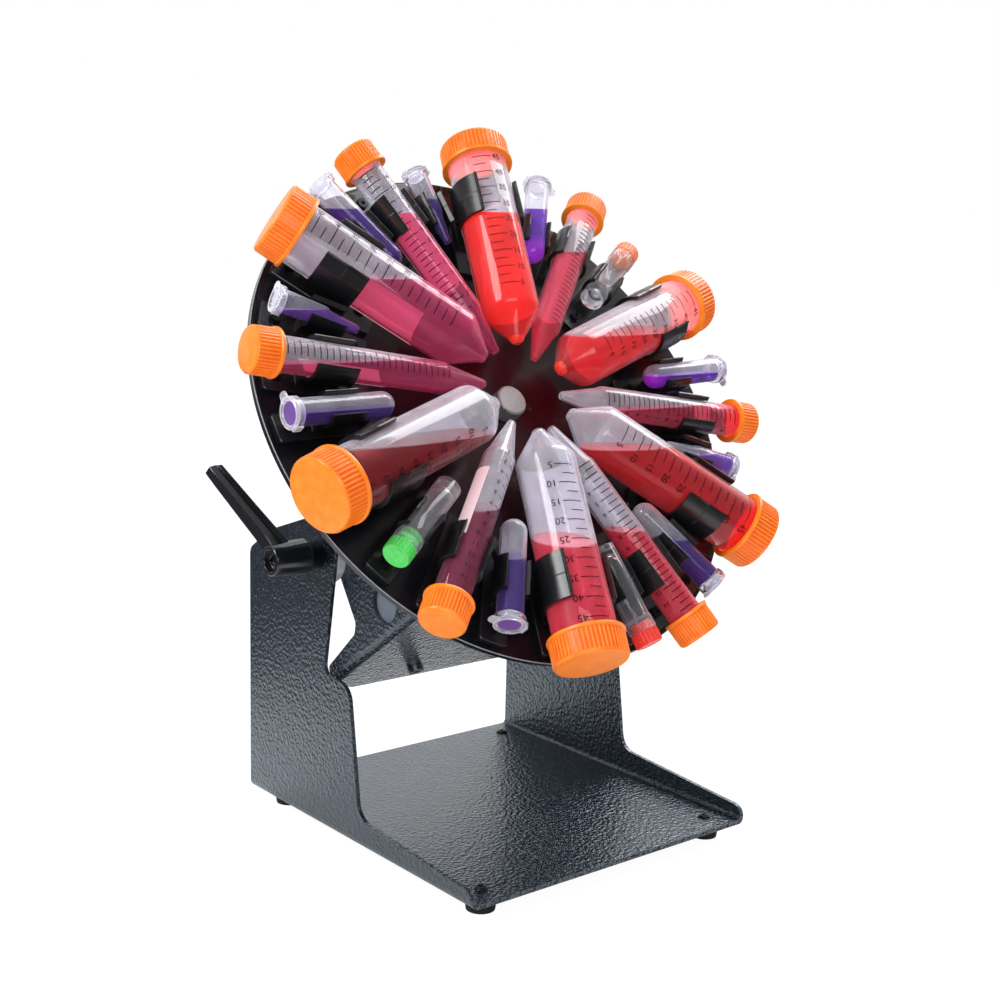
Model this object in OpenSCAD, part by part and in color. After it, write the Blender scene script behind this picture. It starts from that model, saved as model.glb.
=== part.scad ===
// Tube rotator: a tilting carriage on a bent-sheet stand turns a disc of
// spring clips that hold 50 mL, 15 mL and micro tubes.
// Origin: on the bench, midway between the four feet. +Z up, front is -Y,
// the clamping lever is on the left (-X) side.
// The carriage is drawn in its own axes: x across, y up along the disc,
// z out along the spindle, with the tilt pivot at its origin.

/* [Stand] */
// Width over the two side walls
base_w = 170; // [160:1:200]
// Depth of the stand, front to back
base_d = 182; // [170:1:210]
// Thickness of the stand's sheet
sheet_t = 2; // [1.5:0.5:3]
// Outer radius of the stand's bends
bend_r = 4; // [3:0.5:6]
// Height of a rubber foot
foot_h = 7; // [5:0.5:12]
// Radius of a rubber foot at its top
foot_r = 7.5; // [6:0.5:9]
// Inset of the foot screws from the stand's edges
foot_inset = 14; // [11:0.5:18]
// Height of the low curb at the front end of each wall
curb_front_h = 8; // [6:0.5:12]
// Height of the low curb where it meets the upright
curb_back_h = 14; // [13:0.5:18]
// Height of the shelf where the upright narrows
shelf_z = 83; // [75:1:95]

/* [Pivot] */
// Height of the tilt pivot above the bench
pivot_z = 139.5; // [135:0.5:150]
// Distance of the tilt pivot behind the middle of the stand
pivot_y = 29; // [22:1:34]
// Radius of the pivot screw and the lever's stud
pivot_r = 4; // [3:0.5:5]
// Thickness of the friction washers
friction_t = 4; // [2:0.5:5]
// Radius of the friction washers
friction_r = 14; // [12:0.5:16]

/* [Carriage] */
// Elevation of the spindle at rest, 0 is level and 90 points straight up
tilt = 36; // [0:1:90]
// Thickness of the carriage's sheet
carriage_t = 2; // [1.5:0.5:3]
// Distance from the pivot up to the spindle, along the disc
spindle_up = 36.5; // [34:0.5:45]
// Distance from the pivot out to the disc's front face, along the spindle
disc_out = 62.5; // [61:0.5:70]
// Distance from the pivot down to the carriage's floor, along the disc
floor_down = 53; // [48:1:56]
// How far the floor reaches behind the pivot
floor_back = 46; // [42:1:50]
// Radius of the ear round the pivot
eye_r = 12.5; // [10:0.5:13.5]
// Radius of the access hole in each ear
ear_hole_r = 9; // [6:0.5:10]
// Clear space between the motor plate and the disc
plate_gap = 13.5; // [13:0.5:18]

/* [Drive] */
// Radius of the gearbox
gearbox_r = 30; // [24:1:32]
// Length of the gearbox
gearbox_l = 30; // [22:1:32]
// Radius of the motor
motor_r = 26; // [20:1:28]
// Length of the motor
motor_l = 34; // [24:1:35]
// Radius of the output shaft
shaft_r = 4; // [3:0.5:5]
// Half the width of the drive cover
cover_half_w = 42; // [38:1:46]
// Wall of the drive cover
cover_t = 1.5; // [1:0.25:2]
// Depth of the drive cover behind the pivot
cover_back = 27; // [24:1:29]

/* [Disc] */
// Radius of the disc
disc_r = 131; // [129:1:136]
// Thickness of the disc
disc_t = 3; // [2:0.5:4]
// Bearing of the first slot, clockwise from the top
first_bearing = 11.5; // [0:0.5:30]
// Radius of the thumb screw's knurled head
thumb_r = 8; // [7:0.5:10]
// Height of the thumb screw's head
thumb_h = 9; // [7:0.5:12]

/* [Clips] */
// Thickness of a clip's base plate
clip_base_t = 3; // [2:0.5:4]
// Wall of a clip's arms
clip_wall = 1.8; // [1.4:0.2:2.2]
// Radius on the disc where the base plates begin
clip_base_in = 75; // [72:1:78]
// Radius on the disc where the base plates end
clip_base_out = 128; // [124:1:130]
// Distance from a base plate's outer end in to the middle of the arms
clip_arms_in = 26; // [22:1:30]
// Gap between a clip and its tube
clip_gap = 0.15; // [0.1:0.05:0.3]
// Angle of the arms' opening, measured at the tube's axis
clip_mouth = 96; // [80:2:120]

/* [Tubes] */
// Radius of a 50 mL tube at its mouth
tube50_r = 14.7; // [14:0.1:15]
// Length of a capped 50 mL tube
tube50_l = 116; // [110:1:120]
// Height of a 50 mL tube's axis above the disc
tube50_up = 22; // [21.5:0.5:26]
// Radius of a 15 mL tube at its mouth
tube15_r = 8.2; // [7.8:0.1:8.4]
// Length of a capped 15 mL tube
tube15_l = 120; // [115:1:124]
// Height of a 15 mL tube's axis above the disc
tube15_up = 18; // [17:0.5:18.5]
// Radius of a small tube
small_r = 6.1; // [5.6:0.1:6.4]
// Radius of a conical micro tube
micro_r = 5.4; // [5:0.1:5.6]
// Height of a small tube's axis above the disc
small_up = 15.5; // [14:0.5:17]
// Wall of the large tubes
tube_wall = 1; // [0.8:0.1:1.4]

/* [Hidden] */

$fn = 48;
tiny = 0.01;
fit = 0.05;          // radial clearance of a running fit
liquid_gap = 0.1;    // liquid to the inside of its tube

// --- stand ---
stand_back = 10;     // stand's middle behind the origin, which is below the machine's middle
plate_top = foot_h + sheet_t;
half_w = base_w / 2;
half_d = base_d / 2;
upright_front_y = pivot_y - 13.5;
upright_top_z = pivot_z + 25;
foot_x = half_w - foot_inset - 1;
foot_y = half_d - foot_inset + 1;
foot_screw_r = 2;

// --- carriage, in its own axes ---
ear_x = half_w - sheet_t - friction_t;      // outer face of an ear
disc_back = disc_out - disc_t;
plate_front = disc_back - plate_gap;        // front face of the motor plate
plate_back = plate_front - carriage_t;
floor_top = carriage_t - floor_down;
plate_up = spindle_up + gearbox_r + 6;      // top edge of the motor plate
cover_top = spindle_up + gearbox_r + 4;
ear_strip_back = -33;
shank_l = half_w - ear_x + carriage_t + 8;  // pivot screw and stud, into the wall
gearbox_back = plate_back - gearbox_l;
motor_back = gearbox_back - motor_l;
plate_flange = 14;
flange_screw_y = [-10, 30];                 // screws that hold the motor plate in the ears
flange_screw_z = plate_back - plate_flange / 2;
flange_screw_r = 2;
plate_inner = ear_x - carriage_t - 0.2;     // half width of the motor plate
bush_r = 7;
bush_flange_r = 10;
bush_flange_t = 1.2;
lug_r = 22;                                 // gearbox screws' circle
gearbox_screw_r = 1.9;
shaft_in = 15.5;                            // shaft's reach into the gearbox

// --- drive cover and electrics ---
cover_screw_x = 30.7;
cover_screw_z = -34;
cover_screw_r = 2;
cover_flange = 15;
inlet_x = 22;
inlet_y = -36;
inlet_r = 5.5;
switch_x = -18;
switch_y = -30;
switch_w = 19;
switch_h = 13;
switch_wall = 1.3;
rocker_rest = 8;                            // rocker's lean at rest
rocker_axle_r = 1;
board_w = 72;
board_l = 56;
board_t = 1.6;
board_up = 7;
board_post_x = [-30, 30];
board_post_z = [-14, 30];
board_screw_r = 1.5;

// --- rotor ---
disc_edge = 0.4;                            // chamfer of the disc's rim
hub_flange_t = 3;
hub_flange_r = 23;
hub_barrel_r = 11;
hub_back = plate_front + bush_flange_t + 0.6;
shaft_end = disc_back - 7;
thumb_shank_r = 3;
pin_r = 2;
pin_at = 16;
clip_screw_r = 1.5;
clip_screw_head_r = 2.8;
clip_corner_r = 2;
arm50_w = 22;                               // width of the widest arms, along the tube
clip_mid = clip_base_out - clip_arms_in;    // radius on the disc of the arms' middle
clip_screw_in = (clip_base_in + clip_mid - arm50_w / 2) / 2;
clip_screw_out = (clip_base_out + clip_mid + arm50_w / 2) / 2;

// --- lever, along x from the left wall outward ---
collar_l = 7.4;
collar_r = 6.5;
spline_r = 4.8;
spline_l = 3.5;
hub_l = 19;
hub_r = 8.6;
hub_end_r = 7;
hub_in = half_w + collar_l + 0.1;
hub_out = hub_in + hub_l;
shoulder_x = hub_in + spline_l + 0.3;
shoulder_t = 2;
retainer_r = 2;
retainer_head_r = 3.5;
retainer_head_x = hub_out - 7;
retainer_head_t = 2.8;
arm_l = 52;
arm_bearing = 46;    // arm's direction above straight back
arm_rise = 13;

// --- tubes, caps and lids ---
tip50_r = 3.5;
tip15_r = 2;
micro_tip_r = 1.8;
cone50 = 16;         // length of the cone at the lower end
cone15 = 23;
micro_cone = 17;
body_draft = 0.7;    // a tube is this much narrower above its cone than at its mouth
cap50_h = 13.5;
cap15_h = 13;
cap_rim = 2.2;       // top of a cap above the tube's mouth
cap_gap = 0.2;
cap_wall = 2.5;
cap_rib = 0.4;         // depth of the grooves between a cap's ribs
snap_l = 52;
micro_l = 40;
cryo_l = 43;
cryo_floor = 4;
small_wall = 0.9;
lid_t = 1.6;
lid_rim = 1.1;
plug_gap = 0.15;
strap_t = 0.7;
strap_w = 4;
strap_gap = 0.2;

// --- slots: bearing from the first, kind, radius of the tube's lower end, and
// where along the tube's axis the level of its liquid lies ---
KIND = 1;
TIP = 2;
LEVEL = 3;
SLOTS = [
  [0, "50", 24, 76], [18, "snap", 85, 36], [30, "15", 21.5, 82], [43, "cryo", 87, 0],
  [60, "50", 24, 60], [76, "snap", 85, 24], [90, "15", 21.5, 49], [102, "micro", 86, 18],
  [120, "50", 24, 30], [136, "snap", 77, 22], [150, "15", 21.5, 59], [162, "cryo", 83.5, 0],
  [180, "50", 24, 56], [196, "snap", 72, 18.5], [210, "15", 21.5, 54], [223, "cryo", 75.5, 0],
  [240, "50", 24, 46], [257.5, "snap", 74.5, 30], [270, "15", 21.5, 80], [284, "micro", 85.5, 18],
  [300, "50", 24, 67], [318, "snap", 82, 37], [330, "15", 21.5, 83], [344, "micro", 84, 26]
];

// Point list of a polygon whose corner i is rounded with radii[i].
function unit(v) = v / norm(v);
function corner(p, a, b, r, n) =
  r <= 0 ? [p] :
  let (u = unit(a - p), v = unit(b - p), half = acos(u * v) / 2,
       c = p + unit(u + v) * r / sin(half),
       s = (p + u * r / tan(half)) - c, e = (p + v * r / tan(half)) - c,
       turn = 180 - 2 * half)
  [for (k = [0 : n]) c + (s * sin((1 - k / n) * turn) + e * sin(k / n * turn)) / sin(turn)];
function rounded(pts, radii, n = 6) =
  let (m = len(pts))
  [for (i = [0 : m - 1])
    each corner(pts[i], pts[(i + m - 1) % m], pts[(i + 1) % m], radii[i], n)];

// Turns a shape drawn in x-y so that its extrusion runs along +x, with the
// drawing's x along y and the drawing's y along z.
module along_x() rotate([90, 0, 90]) children();
// Places children in the carriage's axes.
module in_carriage() translate([0, pivot_y, pivot_z]) rotate([90 - tilt, 0, 0]) children();
// Places children on the disc's front face, y out along the given bearing.
module at_bearing(b) in_carriage() translate([0, spindle_up, disc_out])
  rotate([0, 0, -(first_bearing + b)]) children();
// Places a tube drawn along +z in the slot s, at height up over the disc.
module in_slot(s, up) at_bearing(s[0]) translate([0, s[TIP], up]) rotate([-90, 0, 0]) children();
module both_sides() {
  children();
  mirror([1, 0, 0]) children();
}
// Screw along +z: its head stands on z = 0, its shank goes down.
module pan_screw(r, l, head_r, head_t, socket_r) difference() {
  union() {
    cylinder(r = head_r, h = head_t);
    translate([0, 0, -l]) cylinder(r = r, h = l + tiny);
  }
  translate([0, 0, head_t / 2]) cylinder(r = socket_r, h = head_t, $fn = 6);
}
// Outline of a knurled or ribbed round of radius r, its grooves of the given depth.
module toothed(r, depth, teeth) polygon([for (i = [0 : 2 * teeth - 1])
  let (a = 180 * i / teeth, q = r - (i % 2) * depth) [q * cos(a), q * sin(a)]]);
module hex_nut(r, across, t) difference() {
  cylinder(r = across / sqrt(3), h = t, $fn = 6);
  translate([0, 0, -1]) cylinder(r = r, h = t + 2);
}

/* --- stand --- */
module wall_outline() polygon(rounded(
  [[half_d, foot_h], [half_d, pivot_z - 8], [pivot_y + 43, pivot_z + 4.5],
   [upright_front_y - 4, upright_top_z], [upright_front_y + 9, shelf_z],
   [3.5, shelf_z - 1], [-5.5, foot_h + curb_back_h], [2 - half_d, foot_h + curb_front_h],
   [-half_d, foot_h]],
  [0, 6, 14, 9, 5, 9, 9, 5, 0]));

module channel_outline() difference() {
  union() {
    translate([-half_w, foot_h + bend_r]) square([base_w, pivot_z + 60]);
    translate([bend_r - half_w, foot_h]) square([base_w - 2 * bend_r, 2 * bend_r]);
    for (s = [-1, 1]) translate([s * (half_w - bend_r), foot_h + bend_r]) circle(bend_r);
  }
  translate([sheet_t - half_w, foot_h + bend_r]) square([base_w - 2 * sheet_t, pivot_z + 100]);
  translate([bend_r - half_w, plate_top]) square([base_w - 2 * bend_r, 2 * bend_r]);
  for (s = [-1, 1])
    translate([s * (half_w - bend_r), foot_h + bend_r]) circle(bend_r - sheet_t);
}

module base_frame() color([0.10, 0.12, 0.14]) difference() {
  intersection() {
    translate([0, half_d, 0]) rotate([90, 0, 0]) linear_extrude(base_d) channel_outline();
    translate([-half_w, 0, 0]) along_x() linear_extrude(base_w) wall_outline();
  }
  for (x = [-foot_x, foot_x], y = [-foot_y, foot_y])
    translate([x, y, foot_h - 1]) cylinder(r = foot_screw_r + 0.2, h = sheet_t + 2);
  translate([-half_w - 1, pivot_y, pivot_z]) along_x()
    cylinder(r = pivot_r + fit, h = base_w + 2);
}

module rubber_foot() difference() {
  cylinder(r1 = foot_r - 1, r2 = foot_r, h = foot_h);
  translate([0, 0, foot_h - 5]) cylinder(r = foot_screw_r, h = 6);
  translate([0, 0, -1]) cylinder(r = foot_r - 3.5, h = 2);
}

module rubber_feet() color([0.06, 0.06, 0.06])
  for (x = [-foot_x, foot_x], y = [-foot_y, foot_y]) translate([x, y, 0]) rubber_foot();

module foot_screws() color([0.55, 0.56, 0.58])
  for (x = [-foot_x, foot_x], y = [-foot_y, foot_y])
    translate([x, y, plate_top]) pan_screw(foot_screw_r, sheet_t + 4.5, 3.8, 2.4, 1.5);

module friction_washers() color([0.78, 0.79, 0.8]) both_sides()
  translate([ear_x, pivot_y, pivot_z]) along_x() difference() {
    cylinder(r = friction_r, h = friction_t);
    translate([0, 0, -1]) cylinder(r = pivot_r + fit, h = friction_t + 2);
  }

module pivot_screw() color([0.5, 0.51, 0.53])
  translate([half_w, pivot_y, pivot_z]) along_x() {
    difference() {
      union() {
        cylinder(r1 = 8, r2 = 6, h = 4.4);
        translate([0, 0, -shank_l]) cylinder(r = pivot_r, h = shank_l + tiny);
      }
      translate([0, 0, 1.8]) cylinder(r = 2.9, h = 4, $fn = 6);
    }
  }

/* --- clamping lever --- */
module on_lever_axis() translate([0, pivot_y, pivot_z]) rotate([0, -90, 0]) children();

module clamp_stud() color([0.45, 0.46, 0.48]) on_lever_axis() difference() {
  union() {
    translate([0, 0, half_w - shank_l]) cylinder(r = pivot_r, h = shank_l + 1);
    translate([0, 0, half_w]) cylinder(r = collar_r, h = collar_l);
    translate([0, 0, half_w + collar_l - tiny]) cylinder(r = spline_r, h = spline_l, $fn = 12);
  }
  translate([0, 0, half_w + 3]) cylinder(r = retainer_r, h = collar_l + spline_l + 1);
}

module clamp_screw() color([0.3, 0.31, 0.33]) on_lever_axis()
  translate([0, 0, retainer_head_x])
  pan_screw(retainer_r, retainer_head_x - half_w - 5, retainer_head_r, retainer_head_t, 1.5);

module clamp_spring() color([0.6, 0.6, 0.62]) on_lever_axis()
  spring_coil(shoulder_x + shoulder_t, retainer_head_x, 2.9, 0.3, 3);

// Helical spring of wire radius w between two heights.
module spring_coil(z0, z1, r, w, turns) {
  sides = 6;
  steps = 10 * turns;
  pitch = (z1 - z0 - 2 * w) / turns;
  ring = [for (i = [0 : steps], j = [0 : sides - 1])
    let (a = 36 * i, b = 60 * j, q = r + w * cos(b))
    [q * cos(a), q * sin(a), z0 + w + pitch * i / 10 + w * sin(b)]];
  skin = [for (i = [0 : steps - 1], j = [0 : sides - 1])
    let (k = (j + 1) % sides)
    [i * sides + j, (i + 1) * sides + j, (i + 1) * sides + k, i * sides + k]];
  ends = [[for (j = [0 : sides - 1]) j], [for (j = [sides - 1 : -1 : 0]) steps * sides + j]];
  polyhedron(ring, concat(skin, ends), convexity = 4);
}

module clamp_handle() color([0.07, 0.07, 0.08]) on_lever_axis() {
  difference() {
    union() {
      translate([0, 0, hub_in]) cylinder(r1 = hub_r - 0.8, r2 = hub_r, h = 1.5);
      translate([0, 0, hub_in + 1.5]) cylinder(r1 = hub_r, r2 = hub_end_r, h = hub_l - 1.5);
      rotate([0, 0, 90 - arm_bearing]) lever_arm();
    }
    translate([0, 0, hub_in - 1]) cylinder(r = spline_r + 0.15, h = shoulder_x - hub_in + 1);
    translate([0, 0, shoulder_x - 1]) cylinder(r = retainer_r + 0.3, h = shoulder_t + 2);
    translate([0, 0, shoulder_x + shoulder_t]) cylinder(r = retainer_head_r + 1, h = hub_l);
  }
}

// Arm along +x, tapering in plan and in depth, climbing away from the wall.
module lever_arm() intersection() {
  linear_extrude(hub_out + 20) polygon(rounded(
    [[0, -hub_end_r + 1], [arm_l, -3.6], [arm_l + 2, 0], [arm_l, 3.6], [0, hub_end_r - 1]],
    [0, 1.2, 3, 1.2, 0]));
  rotate([90, 0, 0]) translate([0, 0, -20]) linear_extrude(40) polygon(rounded(
    [[0, hub_out - 9], [hub_end_r, hub_out - 8], [arm_l + 3, hub_out + arm_rise - 7],
     [arm_l + 3, hub_out + arm_rise], [hub_end_r + 3, hub_out + 1], [0, hub_out]],
    [0, 4, 1.5, 1.5, 6, 0]));
}

/* --- carriage --- */
module ear_outline() difference() {
  union() {
    circle(eye_r);
    polygon(rounded(
      [[-floor_down, ear_strip_back], [-floor_down, plate_front], [plate_up - 12, plate_front],
       [eye_r + 1.5, 21], [eye_r, 0], [0, 0], [0, 2.3], [-36.5, 1], [-40.5, -3],
       [8.4 - floor_down, ear_strip_back]],
      [0, 0, 6, 14, 0, 0, 0, 4, 4, 3]));
  }
  circle(pivot_r + fit);
  translate([-38.5, 27.5]) circle(ear_hole_r);
  for (y = flange_screw_y) translate([y, flange_screw_z]) circle(flange_screw_r);
}

// Sheet in the y-z plane of the carriage, outline (y, z), inner face at x.
module carriage_bracket() color([0.10, 0.12, 0.14]) in_carriage() difference() {
  union() {
    carriage_sheets();
    both_sides() in_bend(0) intersection() {
      difference() { circle(bend_r); circle(bend_r - carriage_t); }
      translate([0, -bend_r]) square(bend_r);
    }
  }
  both_sides() in_bend(1) difference() {
    translate([0, -bend_r - 1]) square(bend_r + 1);
    circle(bend_r);
  }
}
// Extrudes a shape, drawn about a bend's centre, along the right-hand bend.
module in_bend(over) translate([ear_x - bend_r, bend_r - floor_down, ear_strip_back - over])
  linear_extrude(plate_front - ear_strip_back + 2 * over) children();
// Both ears and the floor between them, meeting in square corners.
module carriage_sheets() {
  both_sides() translate([ear_x - carriage_t, 0, 0]) along_x() linear_extrude(carriage_t) ear_outline();
  translate([0, carriage_t - floor_down, 0]) rotate([90, 0, 0]) linear_extrude(carriage_t)
    difference() {
      polygon(rounded(
        [[-ear_x + carriage_t - tiny, plate_front], [ear_x - carriage_t + tiny, plate_front],
         [ear_x - carriage_t + tiny, ear_strip_back], [62, -floor_back],
         [-62, -floor_back], [-ear_x + carriage_t - tiny, ear_strip_back]],
        [0, 0, 2, 4, 4, 2]));
      for (s = [-1, 1]) translate([s * cover_screw_x, cover_screw_z]) circle(cover_screw_r + 0.2);
    }
}

module pivot_nuts() color([0.55, 0.56, 0.58]) both_sides()
  translate([ear_x - carriage_t, pivot_y, pivot_z]) rotate([0, -90, 0]) hex_nut(pivot_r + fit, 13, 6.5);

module motor_plate() color([0.2, 0.22, 0.24]) in_carriage() {
  difference() {
    translate([-plate_inner, floor_top + 0.1, plate_back])
      cube([2 * plate_inner, plate_up - floor_top - 0.1, carriage_t]);
    translate([0, spindle_up, plate_back - 1]) cylinder(r = bush_r, h = carriage_t + 2);
    for (a = [45 : 90 : 315]) translate([0, spindle_up, plate_back - 1]) rotate([0, 0, a])
      translate([lug_r, 0, 0]) cylinder(r = gearbox_screw_r + 0.2, h = carriage_t + 2);
    both_sides() translate([plate_inner, plate_up, plate_back - 1]) rotate([0, 0, 45])
      cube([24, 24, 10], center = true);
    both_sides() translate([plate_inner, floor_top, plate_back - 1]) rotate([0, 0, 45])
      cube([2 * bend_r, 2 * bend_r, 10], center = true);
  }
  both_sides() difference() {
    translate([plate_inner - carriage_t, -22, plate_back - plate_flange])
      cube([carriage_t, 62, plate_flange + tiny]);
    for (y = flange_screw_y) translate([plate_inner - carriage_t - 1, y, flange_screw_z])
      rotate([0, 90, 0]) cylinder(r = flange_screw_r, h = 6);
  }
}

module plate_screws() color([0.5, 0.51, 0.53]) in_carriage() both_sides()
  for (y = flange_screw_y) translate([ear_x, y, flange_screw_z])
    rotate([0, 90, 0]) pan_screw(flange_screw_r, 7, 3.6, 2.2, 1.4);

module gearbox() color([0.6, 0.61, 0.63]) in_carriage() translate([0, spindle_up, gearbox_back])
  difference() {
    union() {
      cylinder(r = gearbox_r, h = gearbox_l);
      translate([0, 0, gearbox_l - tiny]) cylinder(r = bush_r - 1, h = 0.5);
    }
    translate([0, 0, gearbox_l - 16]) cylinder(r = shaft_r + fit, h = 20);
    for (a = [45 : 90 : 315]) rotate([0, 0, a]) translate([lug_r, 0, gearbox_l - 8])
      cylinder(r = gearbox_screw_r, h = 10);
    difference() {
      translate([0, 0, 4]) cylinder(r = gearbox_r + 1, h = 1.2);
      translate([0, 0, 3]) cylinder(r = gearbox_r - 0.8, h = 4);
    }
  }

module motor_can() color([0.7, 0.71, 0.72]) in_carriage() translate([0, spindle_up, motor_back]) {
  cylinder(r = motor_r, h = motor_l);
  translate([0, 0, -1.5]) cylinder(r = 9, h = 1.6);
}

module gearbox_screws() color([0.5, 0.51, 0.53]) in_carriage() for (a = [45 : 90 : 315])
  translate([0, spindle_up, plate_front]) rotate([0, 0, a]) translate([lug_r, 0, 0])
    pan_screw(gearbox_screw_r, carriage_t + 6, 3.4, 2, 1.3);

module shaft_bush() color([0.72, 0.6, 0.35]) in_carriage() translate([0, spindle_up, plate_back + 0.6])
  difference() {
    union() {
      cylinder(r = bush_r - fit, h = carriage_t - 0.6);
      translate([0, 0, carriage_t - 0.6]) cylinder(r = bush_flange_r, h = bush_flange_t);
    }
    translate([0, 0, -1]) cylinder(r = shaft_r + fit, h = 6);
  }

/* --- drive cover and electrics --- */
module cover_outline(inset) polygon(rounded(
  [[-cover_half_w + inset, floor_top + (inset > 0 ? -1 : 0)], [-cover_half_w + inset, cover_top - inset],
   [cover_half_w - inset, cover_top - inset], [cover_half_w - inset, floor_top + (inset > 0 ? -1 : 0)]],
  [0, 12 - inset, 12 - inset, 0]));

module drive_cover() color([0.24, 0.27, 0.31]) in_carriage() difference() {
  union() {
    translate([0, 0, -cover_back]) linear_extrude(cover_back + plate_back) cover_outline(0);
    translate([-cover_half_w, floor_top, -cover_back - cover_flange])
      cube([2 * cover_half_w, cover_t, cover_flange + tiny]);
  }
  translate([0, 0, cover_t - cover_back]) linear_extrude(cover_back + plate_back) cover_outline(cover_t);
  translate([inlet_x, inlet_y, -cover_back - 1]) cylinder(r = inlet_r, h = 5);
  translate([switch_x, switch_y, -cover_back]) cube([switch_w, switch_h, 6], center = true);
  for (s = [-1, 1]) translate([s * cover_screw_x, floor_top - 1, cover_screw_z]) rotate([-90, 0, 0])
    cylinder(r = cover_screw_r, h = 6);
  for (x = [-24 : 8 : 24]) translate([x - 1.5, spindle_up - 10, -cover_back - 1]) cube([3, 24, 4]);
}

module cover_screws() color([0.45, 0.46, 0.48]) in_carriage() for (s = [-1, 1])
  translate([s * cover_screw_x, -floor_down, cover_screw_z]) rotate([90, 0, 0])
    pan_screw(cover_screw_r, carriage_t + cover_t + 3, 3.8, 2.2, 1.4);

module power_inlet() color([0.08, 0.08, 0.08]) in_carriage()
  translate([inlet_x, inlet_y, -cover_back]) difference() {
    union() {
      translate([0, 0, -1.5]) cylinder(r = inlet_r + 1.5, h = 1.5);
      cylinder(r = inlet_r - 0.1, h = 12);
    }
    translate([0, 0, -2]) cylinder(r = 3, h = 11);
  }

// Places children at the switch, z into the cover.
module at_switch() in_carriage() translate([switch_x, switch_y, -cover_back]) children();

module switch_body() color([0.08, 0.08, 0.08]) at_switch() difference() {
  union() {
    translate([0, 0, -1]) cube([switch_w + 3, switch_h + 3, 2], center = true);
    translate([0, 0, 6]) cube([switch_w - 0.4, switch_h - 0.4, 14], center = true);
  }
  translate([0, 0, -1]) cube([switch_w - 4, switch_h - 2 * switch_wall, 12], center = true);
  translate([0, 0, 1.5]) rotate([90, 0, 0])
    cylinder(r = rocker_axle_r + fit, h = switch_h - 1.4, center = true);
}

module switch_rocker() color([0.15, 0.15, 0.16]) at_switch()
  translate([0, 0, 1.5]) rotate([90, 0, 0]) rotate([0, 0, rocker_rest]) {
    linear_extrude(switch_h - 2 * switch_wall - 0.4, center = true)
      polygon([[-6.8, -5.2], [0, -3.6], [6.8, -5.2], [6.2, 1.2], [0, 2.4], [-6.2, 1.2]]);
    cylinder(r = rocker_axle_r, h = switch_h - 1.6, center = true);
  }

module control_board() color([0.05, 0.3, 0.18]) in_carriage()
  translate([0, floor_top + board_up, 8]) {
    difference() {
      translate([-board_w / 2, 0, -board_l / 2]) cube([board_w, board_t, board_l]);
      for (x = board_post_x, z = board_post_z) translate([x, -1, z - 8]) rotate([-90, 0, 0])
        cylinder(r = board_screw_r + 0.1, h = 4);
    }
    translate([-20, 1.5, -12]) cube([16, 12, 18]);
    translate([12, 1.5, 2]) rotate([-90, 0, 0]) cylinder(r = 6, h = 18);
  }

module board_pillars() color([0.75, 0.72, 0.6]) in_carriage()
  for (x = board_post_x, z = board_post_z) translate([x, floor_top, z]) rotate([-90, 0, 0]) {
    cylinder(r = 3, h = board_up, $fn = 6);
    translate([0, 0, board_up - tiny]) cylinder(r = board_screw_r, h = board_t + 0.1);
    translate([0, 0, board_up + board_t]) cylinder(r = 2.6, h = 1.6);
  }

/* --- rotor --- */
module on_spindle(z) in_carriage() translate([0, spindle_up, z]) children();

module drive_shaft() color([0.75, 0.76, 0.78]) on_spindle(plate_back - shaft_in)
  cylinder(r = shaft_r, h = shaft_end - plate_back + shaft_in);

module hub() color([0.62, 0.63, 0.65]) on_spindle(hub_back) difference() {
  union() {
    cylinder(r = hub_barrel_r, h = disc_back - hub_back);
    translate([0, 0, disc_back - hub_flange_t - hub_back]) cylinder(r = hub_flange_r, h = hub_flange_t);
  }
  translate([0, 0, -1]) cylinder(r = shaft_r, h = shaft_end - hub_back + 1);
  translate([0, 0, 1]) cylinder(r = thumb_shank_r + fit, h = disc_back);
  for (s = [-1, 1]) translate([s * pin_at, 0, 0]) cylinder(r = pin_r, h = disc_back);
  for (a = [0, 90]) rotate([0, 0, a]) translate([0, 0, 3]) rotate([90, 0, 0]) cylinder(r = 1.5, h = 20);
}

module hub_set_screws() color([0.2, 0.2, 0.22]) on_spindle(hub_back + 3) for (a = [0, 90])
  rotate([0, 0, a]) rotate([90, 0, 0]) translate([0, 0, shaft_r + fit]) difference() {
    cylinder(r = 1.5, h = 6);
    translate([0, 0, 4]) cylinder(r = 0.8, h = 3, $fn = 6);
  }

module drive_pins() color([0.75, 0.76, 0.78]) on_spindle(disc_back - hub_flange_t)
  for (s = [-1, 1]) translate([s * pin_at, 0, 0]) cylinder(r = pin_r, h = hub_flange_t + disc_t);

module disc() color([0.07, 0.08, 0.12]) difference() {
  on_spindle(disc_back) rotate_extrude($fn = 180) polygon(
    [[0, 0], [disc_r - disc_edge, 0], [disc_r, disc_edge], [disc_r, disc_t - disc_edge],
     [disc_r - disc_edge, disc_t], [0, disc_t]]);
  on_spindle(disc_back - 1) cylinder(r = thumb_shank_r + 0.1, h = disc_t + 2);
  on_spindle(disc_back - 1) for (s = [-1, 1]) translate([s * pin_at, 0, 0])
    cylinder(r = pin_r + fit, h = disc_t + 2);
  for (s = SLOTS, y = [clip_screw_in, clip_screw_out])
    at_bearing(s[0]) translate([0, y, -disc_t - 1]) cylinder(r = clip_screw_r, h = disc_t + 2);
}

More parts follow.
